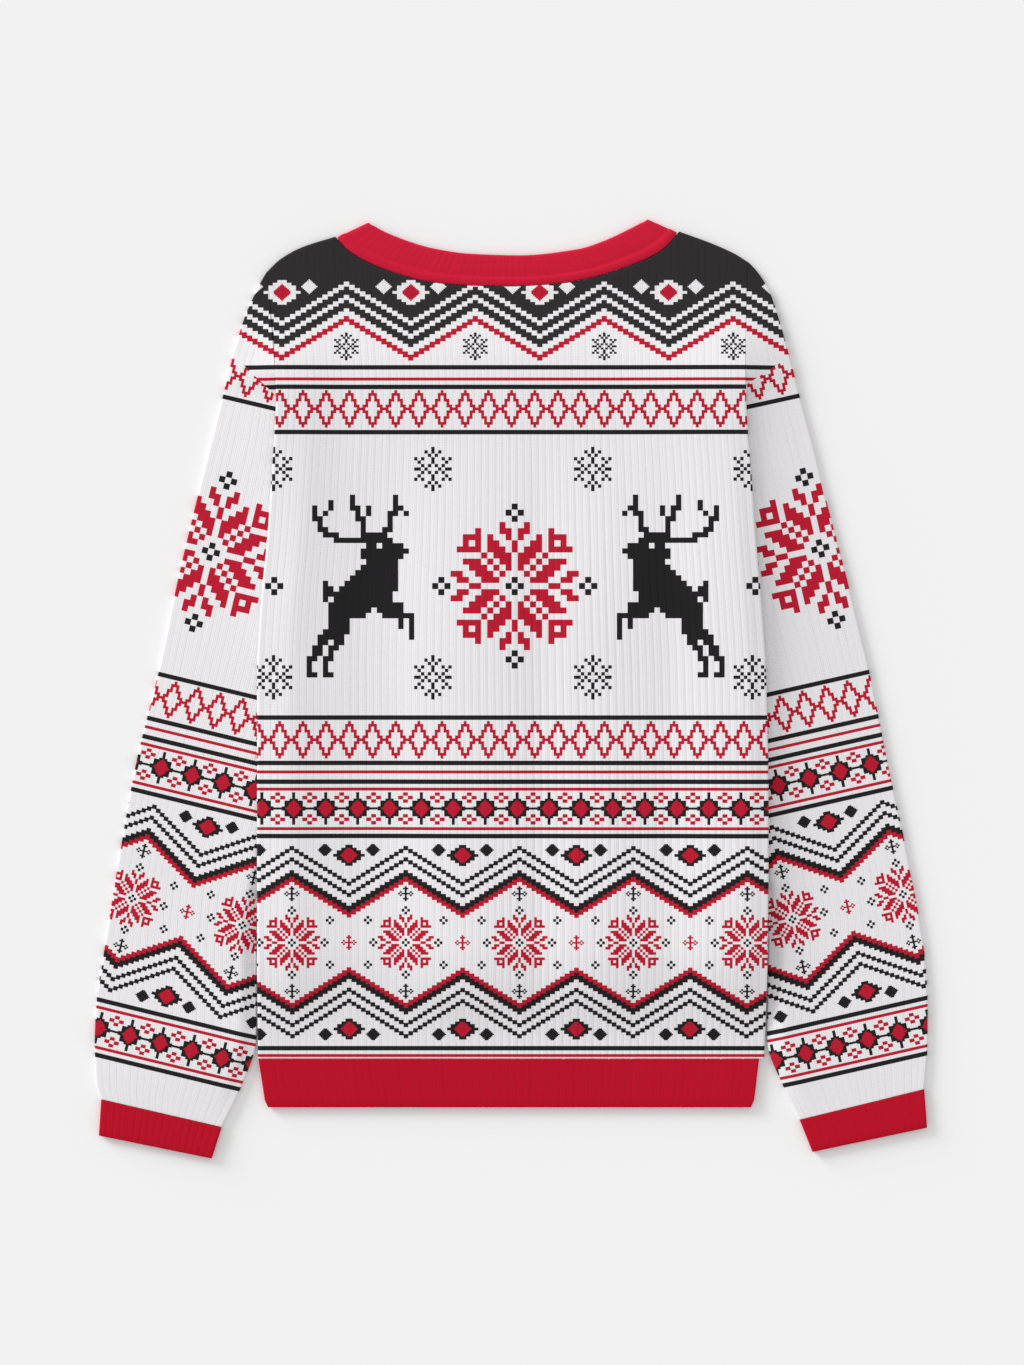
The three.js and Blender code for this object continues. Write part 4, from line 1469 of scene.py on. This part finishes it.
floor_size = 6.0
floor_mesh = bpy.data.meshes.new("floor")
corner = floor_size / 2
floor_z = -0.0003
floor_mesh.from_pydata(
    [(a * corner, b * corner, floor_z) for a, b in ((-1, -1), (1, -1), (1, 1), (-1, 1))],
    [],
    [(0, 1, 2, 3)],
)
floor = bpy.data.objects.new("floor", floor_mesh)
bpy.context.scene.collection.objects.link(floor)
floor_material, floor_tree = new_material("floor")
floor_shader = floor_tree.nodes.new("ShaderNodeBsdfDiffuse")
floor_shader.inputs[0].default_value = (0.88, 0.88, 0.88, 1)
floor_output = floor_tree.nodes.new("ShaderNodeOutputMaterial")
floor_tree.links.new(floor_shader.outputs[0], floor_output.inputs[0])
floor_mesh.materials.append(floor_material)

front = front_panel([printed, inside])
declare(front, "front_panel")
back = back_panel([printed, inside])
declare(back, "back_panel")
for side in ("left", "right"):
    arm = sleeve(side, [printed, inside])
    declare(arm, f"{side}_sleeve")
    cuff = cuff_band(side, [band_red, band_red])
    declare(cuff, f"{side}_cuff")
hem = hem_band([band_red, band_red])
declare(hem, "hem_band")
neck = neck_band([collar_red])
declare(neck, "neck_band")

# Camera: straight above, with the photograph's frame
FRAME_HIGH = 1.02375
FRAME_MIDDLE = (0.000375, 0.00469)
CAMERA_HIGH = 3.0
SENSOR = 36.0
camera_data = bpy.data.cameras.new("camera")
camera_data.sensor_width = SENSOR
camera_data.lens = SENSOR * CAMERA_HIGH / FRAME_HIGH
camera_data.clip_end = 50
camera = bpy.data.objects.new("camera", camera_data)
camera.location = (FRAME_MIDDLE[0] + SHIFT[0] * MM, FRAME_MIDDLE[1] + SHIFT[1] * MM, CAMERA_HIGH)
bpy.context.scene.collection.objects.link(camera)
bpy.context.scene.camera = camera


# Light: an even sky and one broad soft lamp, low on the upper left
def sun(name, strength, angle, azimuth, elevation):
    lamp = bpy.data.lights.new(name, "SUN")
    lamp.energy = strength
    lamp.angle = math.radians(angle)
    thing = bpy.data.objects.new(name, lamp)
    thing.rotation_euler = (math.radians(90 - elevation), 0, math.radians(azimuth))
    bpy.context.scene.collection.objects.link(thing)


world = bpy.data.worlds.new("studio")
world.use_nodes = True
world.node_tree.nodes["Background"].inputs[0].default_value = (1, 1, 1, 1)
world.node_tree.nodes["Background"].inputs[1].default_value = 0.76
bpy.context.scene.world = world
sun("key", 3.0, 26, 229, 15)
bpy.context.scene.view_settings.view_transform = "Standard"
